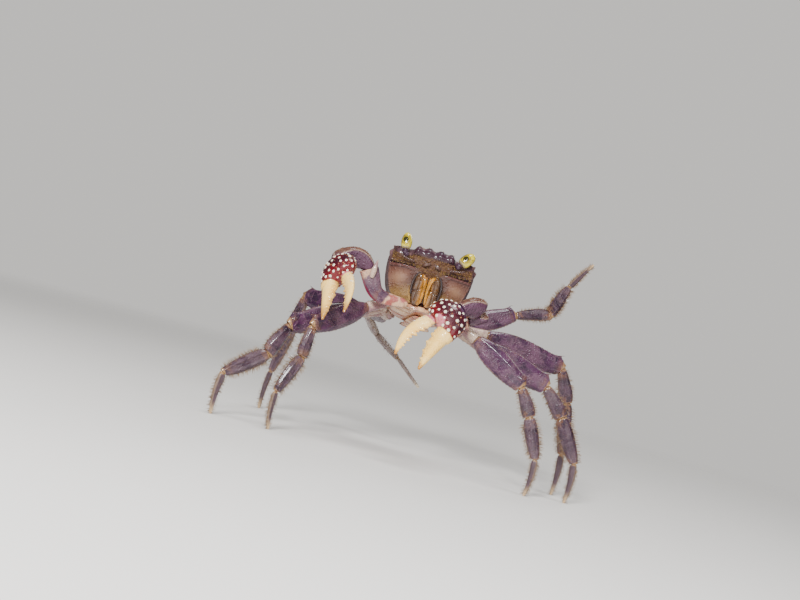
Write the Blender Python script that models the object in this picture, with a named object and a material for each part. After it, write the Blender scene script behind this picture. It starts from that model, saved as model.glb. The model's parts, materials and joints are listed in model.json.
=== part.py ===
"""A sesarmid land crab at life size, standing on its toes with both claws hanging open.

Lengths are in millimetres and angles in degrees until a mesh is written, in metres. The crab
faces -Y, its left side is +X, and the floor is z = 0. Body plates are drawn level in the body's
own frame and then tipped nose up; every limb is a chain of segments that starts at that body.
"""
import math
from dataclasses import dataclass

import bmesh
import bpy
from mathutils import Matrix, Vector

MM = 0.001
GAP = 0.3                 # clearance between neighbouring plates

# Body, in its own frame: origin at the middle of the shell.
CARAPACE_HALF_WIDTH = 13.5
CARAPACE_REAR = 12.6
BODY_HEIGHT = 53.0        # middle of the shell above the floor
BODY_PITCH = 16.0         # nose up
FRONT_HALF_WIDTH = 6.4    # the turned-down flap between the eyes
ORBIT_INNER = 6.7
ORBIT_OUTER = 11.9
TOOTH_TIP = (12.4, -13.0)  # the tooth outside each eye
EYE_CENTRE = {-1: (9.3, -12.4, 7.3), 1: (9.6, -12.4, 6.5)}
EYE_RADIUS = 1.62
EYE_HALF_LENGTH = 3.0
EYE_LEAN = {-1: 6.0, 1: 40.0}    # outward lean of each eye
STALK_ROOT = (7.9, -12.1, 3.3)
HIPS = {2: (10.6, -4.0, -10.0), 3: (11.4, 0.8, -10.0), 4: (11.0, 5.6, -9.6), 5: (8.8, 10.4, -9.0)}

# Walking legs: lengths of the five segments of each pair, and the width of its merus.
SEGMENTS = ("base", "merus", "carpus", "propodus", "dactylus")
LENGTHS = {
    2: (7.4, 19.8, 9.1, 12.5, 11.0),
    3: (7.6, 24.2, 10.2, 14.5, 12.1),
    4: (7.6, 26.6, 10.8, 16.4, 13.0),
    5: (7.0, 18.2, 11.6, 12.2, 12.2),
}
HIP_GAP = 0.7             # from a hip to the breastplate
MERUS_WIDTH = {2: 7.4, 3: 8.4, 4: 8.2, 5: 7.0}
TOE_WIDTH = 0.8
LEG_SIDES = 10

# Claws
PALM_LENGTH = 8.9
PALM_HEIGHT = 13.0
FIXED_FINGER = 13.6
FINGER_ROOT = -0.3        # height of the fixed finger's middle where it leaves the palm
FINGER_REACH = 14.9
FINGER_REST = 14.0        # slope of the movable finger when its claw is shut
FINGER_ARCH = 0.08        # how far its back is arched, as a share of its reach
CLAW_SIDES = 14


@dataclass(frozen=True)
class Look:
    """A plain finish: base colour, roughness and metallic value."""
    name: str
    colour: tuple
    roughness: float
    metallic: float = 0.0


SHELL = Look("shell", (0.105, 0.055, 0.075), 0.35)
FACE = Look("mouthparts", (0.36, 0.2, 0.06), 0.4)
BELLY = Look("belly", (0.62, 0.5, 0.46), 0.45)
LEG = Look("leg", (0.17, 0.11, 0.24), 0.35)
LEG_JOINT = Look("leg_base", (0.48, 0.42, 0.42), 0.4)
TOE = Look("toe", (0.28, 0.22, 0.26), 0.45)
PALM = Look("palm", (0.17, 0.015, 0.035), 0.3)
IVORY = Look("finger", (0.82, 0.68, 0.42), 0.3)
EYE = Look("eye", (0.45, 0.47, 0.08), 0.1)
STALK = Look("eyestalk", (0.05, 0.02, 0.06), 0.3)


@dataclass(frozen=True)
class Section:
    """A cross-section of a segment: its place along the segment, lower and upper edge, thickness."""
    along: float
    low: float
    high: float
    thick: float


@dataclass(frozen=True)
class Stance:
    """How one leg is held: the heading of its plane, the slope of each segment, the plane's tilt,
    and how far the base is drawn out of its socket.

    A merus slope of None is worked out so that the toe comes down to the floor.
    """
    side: int
    pair: int
    heading: float
    base: float
    merus: float
    carpus: float
    propodus: float
    dactylus: float
    tilt: float = 0.0  # of the leg's plane about its heading, outward at the top
    drawn: float = 0.0


STANCES = (
    Stance(-1, 2, -40, -26, None, -84, -64, -94),
    Stance(-1, 3, -32, -25, None, -64, -35, -88),
    Stance(-1, 4, 40, -17, None, -80, -74, -86),
    Stance(-1, 5, 70, -10, 0, -60, -130, -100, 50),
    Stance(1, 2, -13, -24, None, -60, -67, -93, drawn=1.8),
    Stance(1, 3, -2, -22, None, -48, -60, -90, drawn=2.4),
    Stance(1, 4, 9, 3, None, -66, -80, -90, drawn=4.2),
    Stance(1, 5, 10, 24, 26, 17, 66, 55, -15),
)


def tidy_scene():
    """Start from an empty scene."""
    for item in list(bpy.data.objects):
        bpy.data.objects.remove(item, do_unlink=True)


def material(look):
    """The Principled material of a look, made once."""
    found = bpy.data.materials.get(look.name)
    if found:
        return found
    made = bpy.data.materials.new(look.name)
    made.use_nodes = True
    shader = made.node_tree.nodes["Principled BSDF"]
    shader.inputs["Base Color"].default_value = (*look.colour, 1.0)
    shader.inputs["Roughness"].default_value = look.roughness
    shader.inputs["Metallic"].default_value = look.metallic
    made.diffuse_color = (*look.colour, 1.0)
    return made


def add_rings(name, rings, look, placement, root, smooth_angle=50.0):
    """Skin closed rings of points, cap both ends, and place the object under the root."""
    shape = bmesh.new()
    rows = [[shape.verts.new(point * MM) for point in ring] for ring in rings]
    for near, far in zip(rows, rows[1:]):
        count = len(near)
        for k in range(count):
            step = (k + 1) % count
            shape.faces.new((near[k], near[step], far[step], far[k]))
    shape.faces.new(rows[0][::-1])
    shape.faces.new(rows[-1])
    bmesh.ops.triangulate(shape, faces=[face for face in shape.faces if len(face.verts) > 4])
    bmesh.ops.recalc_face_normals(shape, faces=shape.faces[:])
    mesh = bpy.data.meshes.new(name)
    shape.to_mesh(mesh)
    shape.free()
    mesh.shade_smooth()
    mesh.set_sharp_from_angle(angle=math.radians(smooth_angle))
    mesh.materials.append(material(look))
    item = bpy.data.objects.new(name, mesh)
    bpy.context.scene.collection.objects.link(item)
    item.parent = root
    place = placement.copy()
    place.translation *= MM
    item.matrix_local = place


def oval(centre, across, upward, thick, height, sides):
    """An oval ring round a centre, in the plane of two directions."""
    turns = [math.tau * k / sides for k in range(sides)]
    return [centre + across * (0.5 * thick * math.cos(turn)) + upward * (0.5 * height * math.sin(turn))
            for turn in turns]


def slide(ring, anchor, normal, along=Vector((1, 0, 0))):
    """Move each point of a ring along its segment until it lies in a plane."""
    return [point + along * ((anchor - point).dot(normal) / along.dot(normal)) for point in ring]


def segment_rings(sections, sides, start=None, end=None):
    """Rings of a straight segment along X, its two ends trimmed by (anchor, normal) planes."""
    across = Vector((0, 1, 0))
    upward = Vector((0, 0, 1))
    rings = []
    for part in sections:
        centre = Vector((part.along, 0, 0.5 * (part.low + part.high)))
        rings.append(oval(centre, across, upward, part.thick, part.high - part.low, sides))
    if start:
        rings[0] = slide(rings[0], *start)
    if end:
        rings[-1] = slide(rings[-1], *end)
    return rings


def path_rings(path, heights, thicks, across, sides):
    """Rings square to a bent path, each as high and as thick as its own numbers."""
    rings = []
    for k, point in enumerate(path):
        before = path[max(k - 1, 0)]
        after = path[min(k + 1, len(path) - 1)]
        tangent = (after - before).normalized()
        side = (across - tangent * across.dot(tangent)).normalized()
        rings.append(oval(point, side, tangent.cross(side), thicks[k], heights[k], sides))
    return rings


def curve_points(knots, steps):
    """Points along a smooth curve through a few knots."""
    padded = [knots[0] * 2 - knots[1], *knots, knots[-1] * 2 - knots[-2]]
    points = []
    for a, b, c, d in zip(padded, padded[1:], padded[2:], padded[3:]):
        for k in range(steps):
            t = k / steps
            points.append(0.5 * (2 * b + (c - a) * t + (2 * a - 5 * b + 4 * c - d) * t * t
                                 + (3 * b - a - 3 * c + d) * t ** 3))
    return [*points, knots[-1]]


def frame_along(origin, along, upward):
    """A placement at origin whose X runs along a direction and whose Z leans to another."""
    x = along.normalized()
    y = upward.cross(x).normalized()
    z = x.cross(y)
    turned = Matrix((x, y, z)).transposed().to_4x4()
    turned.translation = origin
    return turned


def body_frame():
    """The body's frame in the standing crab's frame."""
    lift = Matrix.Translation((0, 0, BODY_HEIGHT))
    return lift @ Matrix.Rotation(math.radians(-BODY_PITCH), 4, "X")


# ---------------------------------------------------------------- body

@dataclass(frozen=True)
class Level:
    """One level of the shell: height, size in plan, roundness of the cheeks, and front relief."""
    height: float
    half_width: float
    front: float
    rear: float
    cheek: float       # how far the face falls back at its sides
    jut: float = 0.0   # of the flap between the eyes
    hollow: float = 0.0  # of the eye sockets
    tooth: float = 0.0   # 1 where the corner tooth is full


LEVELS = (
    Level(-7.2, 7.6, -6.0, 8.6, 0.9),
    Level(-6.6, 9.4, -6.9, 10.2, 1.2),
    Level(-4.6, 11.3, -8.4, 11.6, 1.6),
    Level(-2.0, 12.7, -9.9, 12.2, 1.8),
    Level(0.9, 13.35, -11.1, 12.5, 1.6),
    Level(1.6, 13.4, -11.75, 12.6, 0.9, 0.0, 0.0, 0.3),
    Level(2.5, 13.4, -11.6, 12.6, 0.6, 0.0, 1.1, 0.5),
    Level(3.3, 13.5, -11.6, 12.6, 0.5, 0.0, 1.65, 0.7),
    Level(4.3, 13.5, -11.8, 12.6, 0.5, 0.2, 1.8, 1.0),
    Level(5.0, 13.5, -11.9, 12.5, 0.5, 1.4, 1.8, 1.0),
    Level(6.1, 12.7, -11.5, 11.9, 0.8, 1.0, 1.2, 0.3),
)
FACE_DROP = 2.7           # how much lower the shell reaches under the mouth
CROWN = ((0.86, 6.75), (0.62, 7.15), (0.34, 7.35))   # share of the plan, height
FRONT_STEPS = (0.0, 1.3, 2.6, 4.2, 5.4, 6.3, 6.9, 7.9, 9.4, 11.0, 11.9, 12.6)
SIDE_STEPS = (-0.80, -0.73, -0.52, -0.25, 0.05, 0.35, 0.6)
REAR_STEPS = (0.9, 0.76, 0.56, 0.36, 0.18, 0.0)
LOBE_DEPTH = 0.35         # grooves between the four lobes behind the front
CREST_LIFT = 1.0          # how far the lobes stand above the rest of the shell


def plateau(x, low, high, soft=0.5):
    """One between low and high, falling smoothly to zero past them."""
    return 1.0 / (1.0 + math.exp(-(x - low) / (0.25 * soft)) + math.exp((x - high) / (0.25 * soft)))


def shell_half(level):
    """Half of a level's outline, from the middle of the front round to the middle of the rear."""
    width = level.half_width
    points = []
    for step in FRONT_STEPS:
        x = step * width / CARAPACE_HALF_WIDTH
        y = level.front + level.cheek * (step / FRONT_STEPS[-1]) ** 4
        y -= level.jut * plateau(step, -99, FRONT_HALF_WIDTH)
        y += level.hollow * plateau(step, ORBIT_INNER, ORBIT_OUTER)
        points.append((x, y))
    corner = points[-1]
    tooth_x = corner[0] + (TOOTH_TIP[0] - corner[0]) * level.tooth
    points[-1] = (tooth_x, corner[1] + (TOOTH_TIP[1] - corner[1]) * level.tooth)
    for k, step in enumerate(SIDE_STEPS):
        y = step * CARAPACE_REAR
        waist = 1.0 - abs(step) ** 4 * (0.10 if step < 0 else 0.35)
        notch = 0.45 * level.tooth if k == 0 else 0.0
        points.append((width * waist - notch, max(y, level.front + 1.4)))
    for step in REAR_STEPS:
        points.append((width * step * 0.92, level.rear * (1.0 - 0.28 * step ** 4)))
    return points


def mirror_ring(half):
    """A whole ring from one half, keeping one point at the middle of the front and the rear."""
    return half + [Vector((-point.x, point.y, point.z)) for point in half[-2:0:-1]]


def crest_relief(point):
    """Lift of the crest behind the front, less the three grooves that part its four lobes."""
    rise = max(0.0, min(1.0, (-6.0 - point.y) / 4.0))
    lift = CREST_LIFT * rise * plateau(point.x, -FRONT_HALF_WIDTH, FRONT_HALF_WIDTH, 1.6)
    across = min(abs(abs(point.x) - spot) for spot in (0.0, 3.6))
    if abs(point.x) > FRONT_HALF_WIDTH or point.y > -8.0:
        return lift
    return lift - LOBE_DEPTH * max(0.0, 1.0 - across / 1.3)


def build_carapace(root, body):
    """The whole shell: top, cheeks, eye sockets, front flap and corner teeth."""
    rings = []
    for level in LEVELS:
        half = []
        for x, y in shell_half(level):
            share = max(0.0, min(1.0, (-y - 3.5) / 3.0))
            fall = FACE_DROP * share * max(0.0, min(1.0, (-level.height - 2.0) / 4.6))
            half.append(Vector((x, y, level.height - fall)))
        rings.append(mirror_ring(half))
    floor = [Vector((point.x * 0.7, point.y * 0.5, LEVELS[0].height)) for point in rings[0]]
    top = rings[-1]
    rings.insert(0, floor)
    for share, height in CROWN:
        rings.append([Vector((point.x * share, point.y * share, height)) for point in top])
    for ring in rings[len(LEVELS):]:
        for point in ring:
            point.z += crest_relief(point)
    add_rings("carapace", rings, SHELL, body, root)


def build_sternum(root, body):
    """The breastplate that the legs stand round, as wide at each hip as the hip lets it be."""
    stations = [(-7.0, 3.4), (-5.4, 6.4), (-3.8, HIPS[2][0] - HIP_GAP), (0.8, HIPS[3][0] - HIP_GAP),
                (5.6, HIPS[4][0] - HIP_GAP), (9.4, HIPS[5][0] - 2 * HIP_GAP), (11.4, 4.8)]
    top = (-10.4, -9.9, -8.3, -7.5, -7.5, -7.5, -7.5)
    low = (-10.9, -11.0, -11.0, -11.0, -11.0, -10.6, -9.6)
    rings = []
    for (y, half), above, below in zip(stations, top, low):
        middle = 0.5 * (above + below)
        rings.append([
            Vector((half, y, above)), Vector((half, y, middle)), Vector((half * 0.72, y, below + 0.5)),
            Vector((half * 0.3, y, below)), Vector((-half * 0.3, y, below)),
            Vector((-half * 0.72, y, below + 0.5)), Vector((-half, y, middle)), Vector((-half, y, above)),
            Vector((0, y, above)),
        ])
    add_rings("sternum", rings, BELLY, body, root, 35.0)


def build_abdomen(root, body):
    """The narrow tail of a male, folded forward under the breastplate."""
    stations = ((12.9, 4.8, -9.0), (12.2, 5.1, -10.5), (9.4, 4.8, -11.3), (5.6, 4.1, -11.4),
                (2.0, 3.2, -11.4), (-1.2, 2.2, -11.4), (-3.6, 1.2, -11.35))
    thick = 0.8
    rings = []
    for y, half, top in stations:
        rings.append([
            Vector((half, y, top)), Vector((half, y, top - thick * 0.5)),
            Vector((half * 0.6, y, top - thick)), Vector((-half * 0.6, y, top - thick)),
            Vector((-half, y, top - thick * 0.5)), Vector((-half, y, top)),
        ])
    add_rings("abdomen", rings, BELLY, body, root, 35.0)


def build_maxilliped(root, body, side):
    """One of the two mouth plates that close the mouth, leaving a rhomb between them."""
    bottom = Vector((side * 1.9, -7.9, -9.7))
    top = Vector((side * 2.1, -11.7, -1.2))
    place = body @ frame_along(bottom, top - bottom, Vector((-side, 0, 0)))
    span = (top - bottom).length
    inner = (1.0, 1.6, 1.75, 1.0, 1.2, 1.4, 0.8)
    outer = (-1.2, -1.9, -2.2, -2.1, -2.2, -1.8, -1.0)
    shares = (0.0, 0.12, 0.34, 0.53, 0.7, 0.88, 1.0)
    thick = (0.9, 1.3, 1.4, 1.2, 1.4, 1.3, 0.8)
    sections = [Section(span * share, low, high, deep)
                for share, low, high, deep in zip(shares, outer, inner, thick)]
    add_rings(f"maxilliped_{side_name(side)}", segment_rings(sections, 8), FACE, place, root)


def build_eye(root, body, side):
    """A long oval eye and the short stalk that leans out to it from the inner side of the socket."""
    x, y, z = EYE_CENTRE[side]
    centre = Vector((side * x, y, z))
    lean = math.radians(EYE_LEAN[side])
    axis = Vector((side * math.sin(lean), -0.05, math.cos(lean))).normalized()
    place = body @ frame_along(centre, axis, Vector((0, -1, 0)))
    cut = -0.72 * EYE_HALF_LENGTH
    first = math.asin(cut / EYE_HALF_LENGTH)
    turns = [first + k / 9 * (0.93 * math.pi / 2 - first) for k in range(10)]
    sections = [Section(EYE_HALF_LENGTH * math.sin(turn), -EYE_RADIUS * math.cos(turn),
                        EYE_RADIUS * math.cos(turn), 2 * EYE_RADIUS * math.cos(turn)) for turn in turns]
    add_rings(f"eye_{side_name(side)}", segment_rings(sections, 12), EYE, place, root, 80.0)
    end = centre + axis * (cut - GAP)
    foot = Vector((side * STALK_ROOT[0], STALK_ROOT[1], STALK_ROOT[2]))
    path = curve_points([foot, end - axis * 0.7, end], 2)
    sizes = [1.4, 1.6, 1.9, 2.1, 1.9]
    rings = path_rings(path, sizes, sizes, Vector((0, 1, 0)), 10)
    rings[-1] = slide(rings[-1], end, axis, axis)
    add_rings(f"eyestalk_{side_name(side)}", rings, STALK, body, root)


def build_antenna(root, body, side):
    """A short feeler that leaves the inner corner of the eye socket."""
    knots = [Vector((side * 5.4, -12.6, 2.0)), Vector((side * 6.7, -13.3, 1.8)),
             Vector((side * 8.4, -13.7, 2.0)), Vector((side * 10.0, -13.8, 2.6))]
    path = curve_points(knots, 2)
    sizes = [1.1, 1.1, 0.95, 0.8, 0.7, 0.6, 0.55]
    rings = path_rings(path, sizes, sizes, Vector((0, 1, 0)), 6)
    add_rings(f"antenna_{side_name(side)}", rings, FACE, body, root)


# ---------------------------------------------------------------- walking legs

def leg_sections(segment, pair, length):
    """The cross-sections of one leg segment; the upper edge carries the merus's end spine."""
    size = MERUS_WIDTH[pair] / MERUS_WIDTH[3]
    if segment == "base":
        return [Section(0, -2.2 * size, 2.2 * size, 3.3 * size),
                Section(length * 0.35, -2.2 * size, 2.1 * size, 3.4 * size),
                Section(length * 0.62, -1.9 * size, 1.8 * size, 3.0 * size),
                Section(length, -2.0 * size, 2.0 * size, 2.8 * size)]
    if segment == "merus":
        half = MERUS_WIDTH[pair] * 0.5
        shares = ((0.0, 0.44, 0.44), (0.12, 0.74, 0.72), (0.3, 1.0, 0.94), (0.52, 1.04, 0.96),
                  (0.72, 0.94, 0.84), (0.86, 0.84, 0.68), (0.93, 0.92, 0.58), (1.0, 0.5, 0.52))
        return [Section(length * share, -low * half, high * half, size * (2.4 + 1.0 * math.sin(math.pi * share)))
                for share, high, low in shares]
    if segment == "carpus":
        return [Section(0, -1.5 * size, 1.5 * size, 2.4 * size),
                Section(length * 0.24, -1.7 * size, 2.1 * size, 2.8 * size),
                Section(length * 0.55, -2.1 * size, 2.6 * size, 3.0 * size),
                Section(length * 0.8, -2.3 * size, 2.7 * size, 2.8 * size),
                Section(length, -2.1 * size, 2.1 * size, 2.4 * size)]
    if segment == "propodus":
        return [Section(0, -1.8 * size, 1.8 * size, 2.2 * size),
                Section(length * 0.16, -2.4 * size, 2.35 * size, 2.3 * size),
                Section(length * 0.45, -2.4 * size, 2.5 * size, 2.2 * size),
                Section(length * 0.78, -2.0 * size, 2.1 * size, 2.0 * size),
                Section(length, -1.3 * size, 1.3 * size, 1.6 * size)]
    return [Section(0, -1.05 * size, 1.05 * size, 1.4 * size),
            Section(length * 0.2, -1.1 * size, 1.25 * size, 1.5 * size),
            Section(length * 0.5, -0.8 * size, 1.15 * size, 1.3 * size),
            Section(length * 0.8, -0.6 * size, 0.75 * size, 1.0 * size),
            Section(length, -0.5 * TOE_WIDTH, 0.5 * TOE_WIDTH, TOE_WIDTH)]


def leg_joints(stance, body):
    """The joints of a leg from hip to toe, and the direction across its plane."""
    hip = HIPS[stance.pair]
    lengths = list(LENGTHS[stance.pair])
    lengths[0] += stance.drawn
    slopes = [stance.base, stance.merus, stance.carpus, stance.propodus, stance.dactylus]
    joints = [body @ Vector((stance.side * hip[0], hip[1], hip[2]))]
    if stance.merus is None:
        drop = joints[0].z + sum(length * math.sin(math.radians(slope))
                                 for length, slope in zip(lengths, slopes) if slope is not None)
        slopes[1] = -math.degrees(math.asin(drop / lengths[1]))
    heading = math.radians(stance.heading)
    outward = Vector((stance.side * math.cos(heading), math.sin(heading), 0))
    tilt = math.radians(stance.tilt) * -stance.side
    upright = Vector((0, 0, 1))
    upward = upright * math.cos(tilt) + upright.cross(outward) * math.sin(tilt)
    for length, slope in zip(lengths, slopes):
        angle = math.radians(slope)
        joints.append(joints[-1] + (outward * math.cos(angle) + upward * math.sin(angle)) * length)
    return joints, upward.cross(outward)


def build_leg(root, body, stance):
    """Five segments that meet on the planes halving each joint's bend."""
    joints, across = leg_joints(stance, body)
    steps = [(far - near).normalized() for near, far in zip(joints, joints[1:])]
    side_of_body = body.to_3x3() @ Vector((stance.side, 0, 0))
    planes = [(side_of_body + steps[0]).normalized()]
    planes += [(near + far).normalized() for near, far in zip(steps, steps[1:])]
    planes.append(Vector((0, 0, -1)) if stance.merus is None else steps[-1])
    for k, segment in enumerate(SEGMENTS):
        place = frame_along(joints[k], steps[k], steps[k].cross(across))
        inverse = place.to_3x3().transposed()
        near, far = inverse @ planes[k], inverse @ planes[k + 1]
        length = (joints[k + 1] - joints[k]).length
        toe = segment == "dactylus"
        start = (near * (GAP * 0.5), near)
        end = (Vector((length, 0, 0)) - far * (0.0 if toe else GAP * 0.5), far)
        sections = leg_sections(segment, stance.pair, length)
        look = {"base": LEG_JOINT, "dactylus": TOE}.get(segment, LEG)
        name = f"leg_{side_name(stance.side)}_{stance.pair}_{segment}"
        add_rings(name, segment_rings(sections, LEG_SIDES, start, end), look, place, root)


# ---------------------------------------------------------------- claws

@dataclass(frozen=True)
class Claw:
    """How one claw is held: the arm, then where the palm starts and which way it points."""
    side: int
    size: float
    arm: tuple         # beside the mouth, first bend, elbow
    palm_start: tuple
    palm_along: tuple
    palm_upward: tuple
    droop: float       # fall of the fixed finger
    gape: float        # opening of the movable finger
    hinge: float       # height of the movable finger's root, as a share of the palm's


CLAWS = (
    Claw(-1, 0.87, ((-5.4, -11.6, 45.4), (-13.6, -14.3, 45.8), (-17.8, -15.6, 52.2)),
         (-27.0, -20.4, 52.1), (0.27, -0.71, -0.65), (0.63, -0.38, 0.68), 17.3, 23.3, 0.21),
    Claw(1, 0.96, ((5.2, -11.6, 45.6), (10.0, -13.2, 45.0), (14.6, -14.0, 46.0)),
         (11.3, -21.2, 47.6), (-0.67, -0.3, -0.68), (-0.72, 0.48, 0.5), 23.3, 16.8, 0.19),
)
WRIST_ARCH = {-1: 4.6, 1: 6.0}   # how far the wrist's dome is drawn out at each end


def arm_path(claw):
    """Points along the arm's middle line."""
    return curve_points([Vector(knot) for knot in claw.arm], 4)


def build_arm(root, claw):
    """The first lengths of a claw's limb, from beside the mouth to the elbow."""
    path = arm_path(claw)
    count = len(path) - 1
    heights = [claw.size * (3.3 + 3.8 * (k / count) ** 0.8) for k in range(count + 1)]
    thicks = [claw.size * (2.8 + 2.0 * (k / count)) for k in range(count + 1)]
    rings = path_rings(path, heights, thicks, Vector((0.2, -1, 0.2)), 12)
    add_rings(f"arm_{side_name(claw.side)}", rings, LEG, Matrix.Identity(4), root)


def build_wrist(root, claw):
    """The domed wrist segment, arched from the end of the arm over to the palm."""
    arm = arm_path(claw)
    leaving = (arm[-1] - arm[-2]).normalized()
    arriving = Vector(claw.palm_along).normalized()
    start = arm[-1] + leaving * GAP
    finish = Vector(claw.palm_start) - arriving * GAP
    reach = WRIST_ARCH[claw.side] * claw.size
    corners = (start, start + leaving * reach, finish - arriving * reach, finish)
    path = []
    for k in range(9):
        t = k / 8
        weights = ((1 - t) ** 3, 3 * t * (1 - t) ** 2, 3 * t * t * (1 - t), t ** 3)
        path.append(sum((corner * weight for corner, weight in zip(corners, weights)), Vector()))
    across = leaving.cross(arriving).normalized()
    heights = [claw.size * size for size in (3.6, 4.2, 4.4, 4.6, 4.7, 4.8, 4.8, 4.5, 3.9)]
    thicks = [claw.size * size for size in (4.2, 5.6, 6.8, 7.4, 7.6, 7.6, 7.2, 6.2, 4.8)]
    rings = path_rings(path, heights, thicks, across, 12)
    rings[0] = slide(rings[0], start, leaving, leaving)
    rings[-1] = slide(rings[-1], finish, arriving, arriving)
    add_rings(f"wrist_{side_name(claw.side)}", rings, SHELL, Matrix.Identity(4), root)


def claw_frame(claw):
    """The palm's frame: X to the fingers, Z to the movable finger's side."""
    along = Vector(claw.palm_along)
    return frame_along(Vector(claw.palm_start), along, Vector(claw.palm_upward))


def build_palm(root, claw):
    """The swollen palm, drawn out at its lower edge into the fixed finger."""
    tall = PALM_HEIGHT * claw.size
    length = PALM_LENGTH * claw.size
    palm = ((0.0, 0.18, -0.17, 3.6), (0.07, 0.3, -0.28, 5.4), (0.22, 0.43, -0.41, 7.0),
            (0.44, 0.5, -0.48, 7.8), (0.68, 0.51, -0.52, 7.6), (0.88, 0.46, -0.55, 6.8),
            (0.97, 0.38, -0.56, 6.1))
    finger = ((0.0, 0.255, 5.4), (0.07, 0.235, 4.9), (0.2, 0.195, 4.2), (0.42, 0.15, 3.4),
              (0.63, 0.11, 2.7), (0.83, 0.072, 1.9), (1.0, 0.035, 0.9))
    sections = [Section(length * share, tall * low, tall * high, thick * claw.size)
                for share, high, low, thick in palm]
    root_of_finger = Vector((length * 1.03, 0, FINGER_ROOT * tall))
    fall = math.tan(math.radians(claw.droop))
    for share, half, thick in finger:
        along = root_of_finger.x + share * FIXED_FINGER * claw.size
        middle = root_of_finger.z - (along - root_of_finger.x) * fall
        sections.append(Section(along, middle - half * tall, middle + half * tall, thick * claw.size))
    rings = segment_rings(sections, CLAW_SIDES)
    name = f"palm_{side_name(claw.side)}"
    add_rings(name, rings, PALM, claw_frame(claw), root)


def build_finger(root, claw):
    """The movable finger, hinged at the palm's upper front corner and curved down to its tip."""
    tall = PALM_HEIGHT * claw.size
    hinge = Vector((PALM_LENGTH * claw.size + GAP + 0.9, 0, tall * claw.hinge))
    place = claw_frame(claw) @ Matrix.Translation(hinge)
    reach = FINGER_REACH * claw.size
    opening = Matrix.Rotation(-math.radians(claw.gape - FINGER_REST), 3, "Y")
    path = []
    for k in range(9):
        share = k / 8
        arch = FINGER_ARCH * math.sin(math.pi * share) - 0.32 * share ** 1.9
        path.append(opening @ Vector((share, 0, arch)) * reach)
    heights = [claw.size * size for size in (4.6, 4.3, 3.8, 3.4, 3.05, 2.7, 2.25, 1.6, 0.8)]
    thicks = [claw.size * size for size in (2.9, 2.8, 2.5, 2.25, 2.0, 1.8, 1.5, 1.2, 0.7)]
    rings = path_rings(path, heights, thicks, Vector((0, 1, 0)), 12)
    add_rings(f"finger_{side_name(claw.side)}", rings, IVORY, place, root)


def side_name(side):
    """The crab's own side."""
    return "left" if side > 0 else "right"


def centre_on_footprint(root):
    """Shift the crab so that the frame's origin is the middle of its box, on the floor."""
    bpy.context.view_layer.update()
    graph = bpy.context.evaluated_depsgraph_get()
    corners = [item.matrix_world @ vertex.co
               for item in root.children for vertex in item.evaluated_get(graph).data.vertices]
    for axis in (0, 1):
        values = [corner[axis] for corner in corners]
        root.location[axis] = -0.5 * (min(values) + max(values))
    bpy.context.view_layer.update()


def main():
    """Build the crab, piece by piece, under one empty."""
    tidy_scene()
    root = bpy.data.objects.new("crab", None)
    bpy.context.scene.collection.objects.link(root)
    body = body_frame()
    build_carapace(root, body)
    build_sternum(root, body)
    build_abdomen(root, body)
    for side in (-1, 1):
        build_maxilliped(root, body, side)
        build_eye(root, body, side)
        build_antenna(root, body, side)
    for claw in CLAWS:
        build_arm(root, claw)
        build_wrist(root, claw)
        build_palm(root, claw)
        build_finger(root, claw)
    for stance in STANCES:
        build_leg(root, body, stance)
    centre_on_footprint(root)


main()
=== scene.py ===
"""A land crab standing on its toes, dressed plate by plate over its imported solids.

Each CAD node is copied, rounded and shaped in its own axes, and stands for that node. Bristles,
tubercles, granules, feelers and the parts of the mouth are added over them. Lengths are in
millimetres in a piece's own axes, and in metres in Blender.
"""
import json
import logging
import math
from dataclasses import dataclass, field
from enum import Enum
from typing import Callable, Iterable, Sequence

import bmesh
import bpy
import numpy as np
from mathutils import Matrix, Vector

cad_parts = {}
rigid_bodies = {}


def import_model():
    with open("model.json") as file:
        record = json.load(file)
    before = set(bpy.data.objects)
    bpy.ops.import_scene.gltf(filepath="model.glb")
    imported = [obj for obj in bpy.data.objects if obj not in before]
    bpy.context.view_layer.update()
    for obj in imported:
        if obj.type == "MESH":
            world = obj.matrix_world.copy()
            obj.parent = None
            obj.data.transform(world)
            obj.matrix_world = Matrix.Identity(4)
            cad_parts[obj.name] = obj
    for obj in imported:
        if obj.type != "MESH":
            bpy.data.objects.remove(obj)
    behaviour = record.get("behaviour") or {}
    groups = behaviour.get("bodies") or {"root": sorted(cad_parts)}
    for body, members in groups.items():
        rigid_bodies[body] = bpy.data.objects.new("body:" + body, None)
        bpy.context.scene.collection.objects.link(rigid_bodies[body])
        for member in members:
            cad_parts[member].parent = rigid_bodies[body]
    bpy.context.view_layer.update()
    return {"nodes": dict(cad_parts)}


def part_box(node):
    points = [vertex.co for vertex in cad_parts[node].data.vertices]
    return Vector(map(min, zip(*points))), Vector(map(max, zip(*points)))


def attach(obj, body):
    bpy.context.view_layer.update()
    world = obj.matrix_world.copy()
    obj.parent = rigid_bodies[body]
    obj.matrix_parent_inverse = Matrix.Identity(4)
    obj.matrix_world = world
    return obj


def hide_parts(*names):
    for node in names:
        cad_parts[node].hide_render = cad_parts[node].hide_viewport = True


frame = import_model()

MM = 0.001
UP = np.array((0.0, 0.0, 1.0))
BODY = "root"
FIRST_DRAW = 27              # where the random draws start
LOG = logging.getLogger("crab")
Array = np.ndarray
Obj = bpy.types.Object


class Side(Enum):
    """The crab's own two sides, as the sign of X."""
    RIGHT = -1
    LEFT = 1

    @property
    def word(self) -> str:
        """The side's name in node names."""
        return self.name.lower()


class Segment(Enum):
    """The five segments of a walking leg, from the body out."""
    BASE = "base"
    MERUS = "merus"
    CARPUS = "carpus"
    PROPODUS = "propodus"
    DACTYLUS = "dactylus"


# ---------- numbers

def smooth(low: float, high: float, value: Array) -> Array:
    """Rise from 0 at low to 1 at high without a corner."""
    share = np.clip((value - low) / (high - low), 0.0, 1.0)
    return share * share * (3.0 - 2.0 * share)


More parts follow.
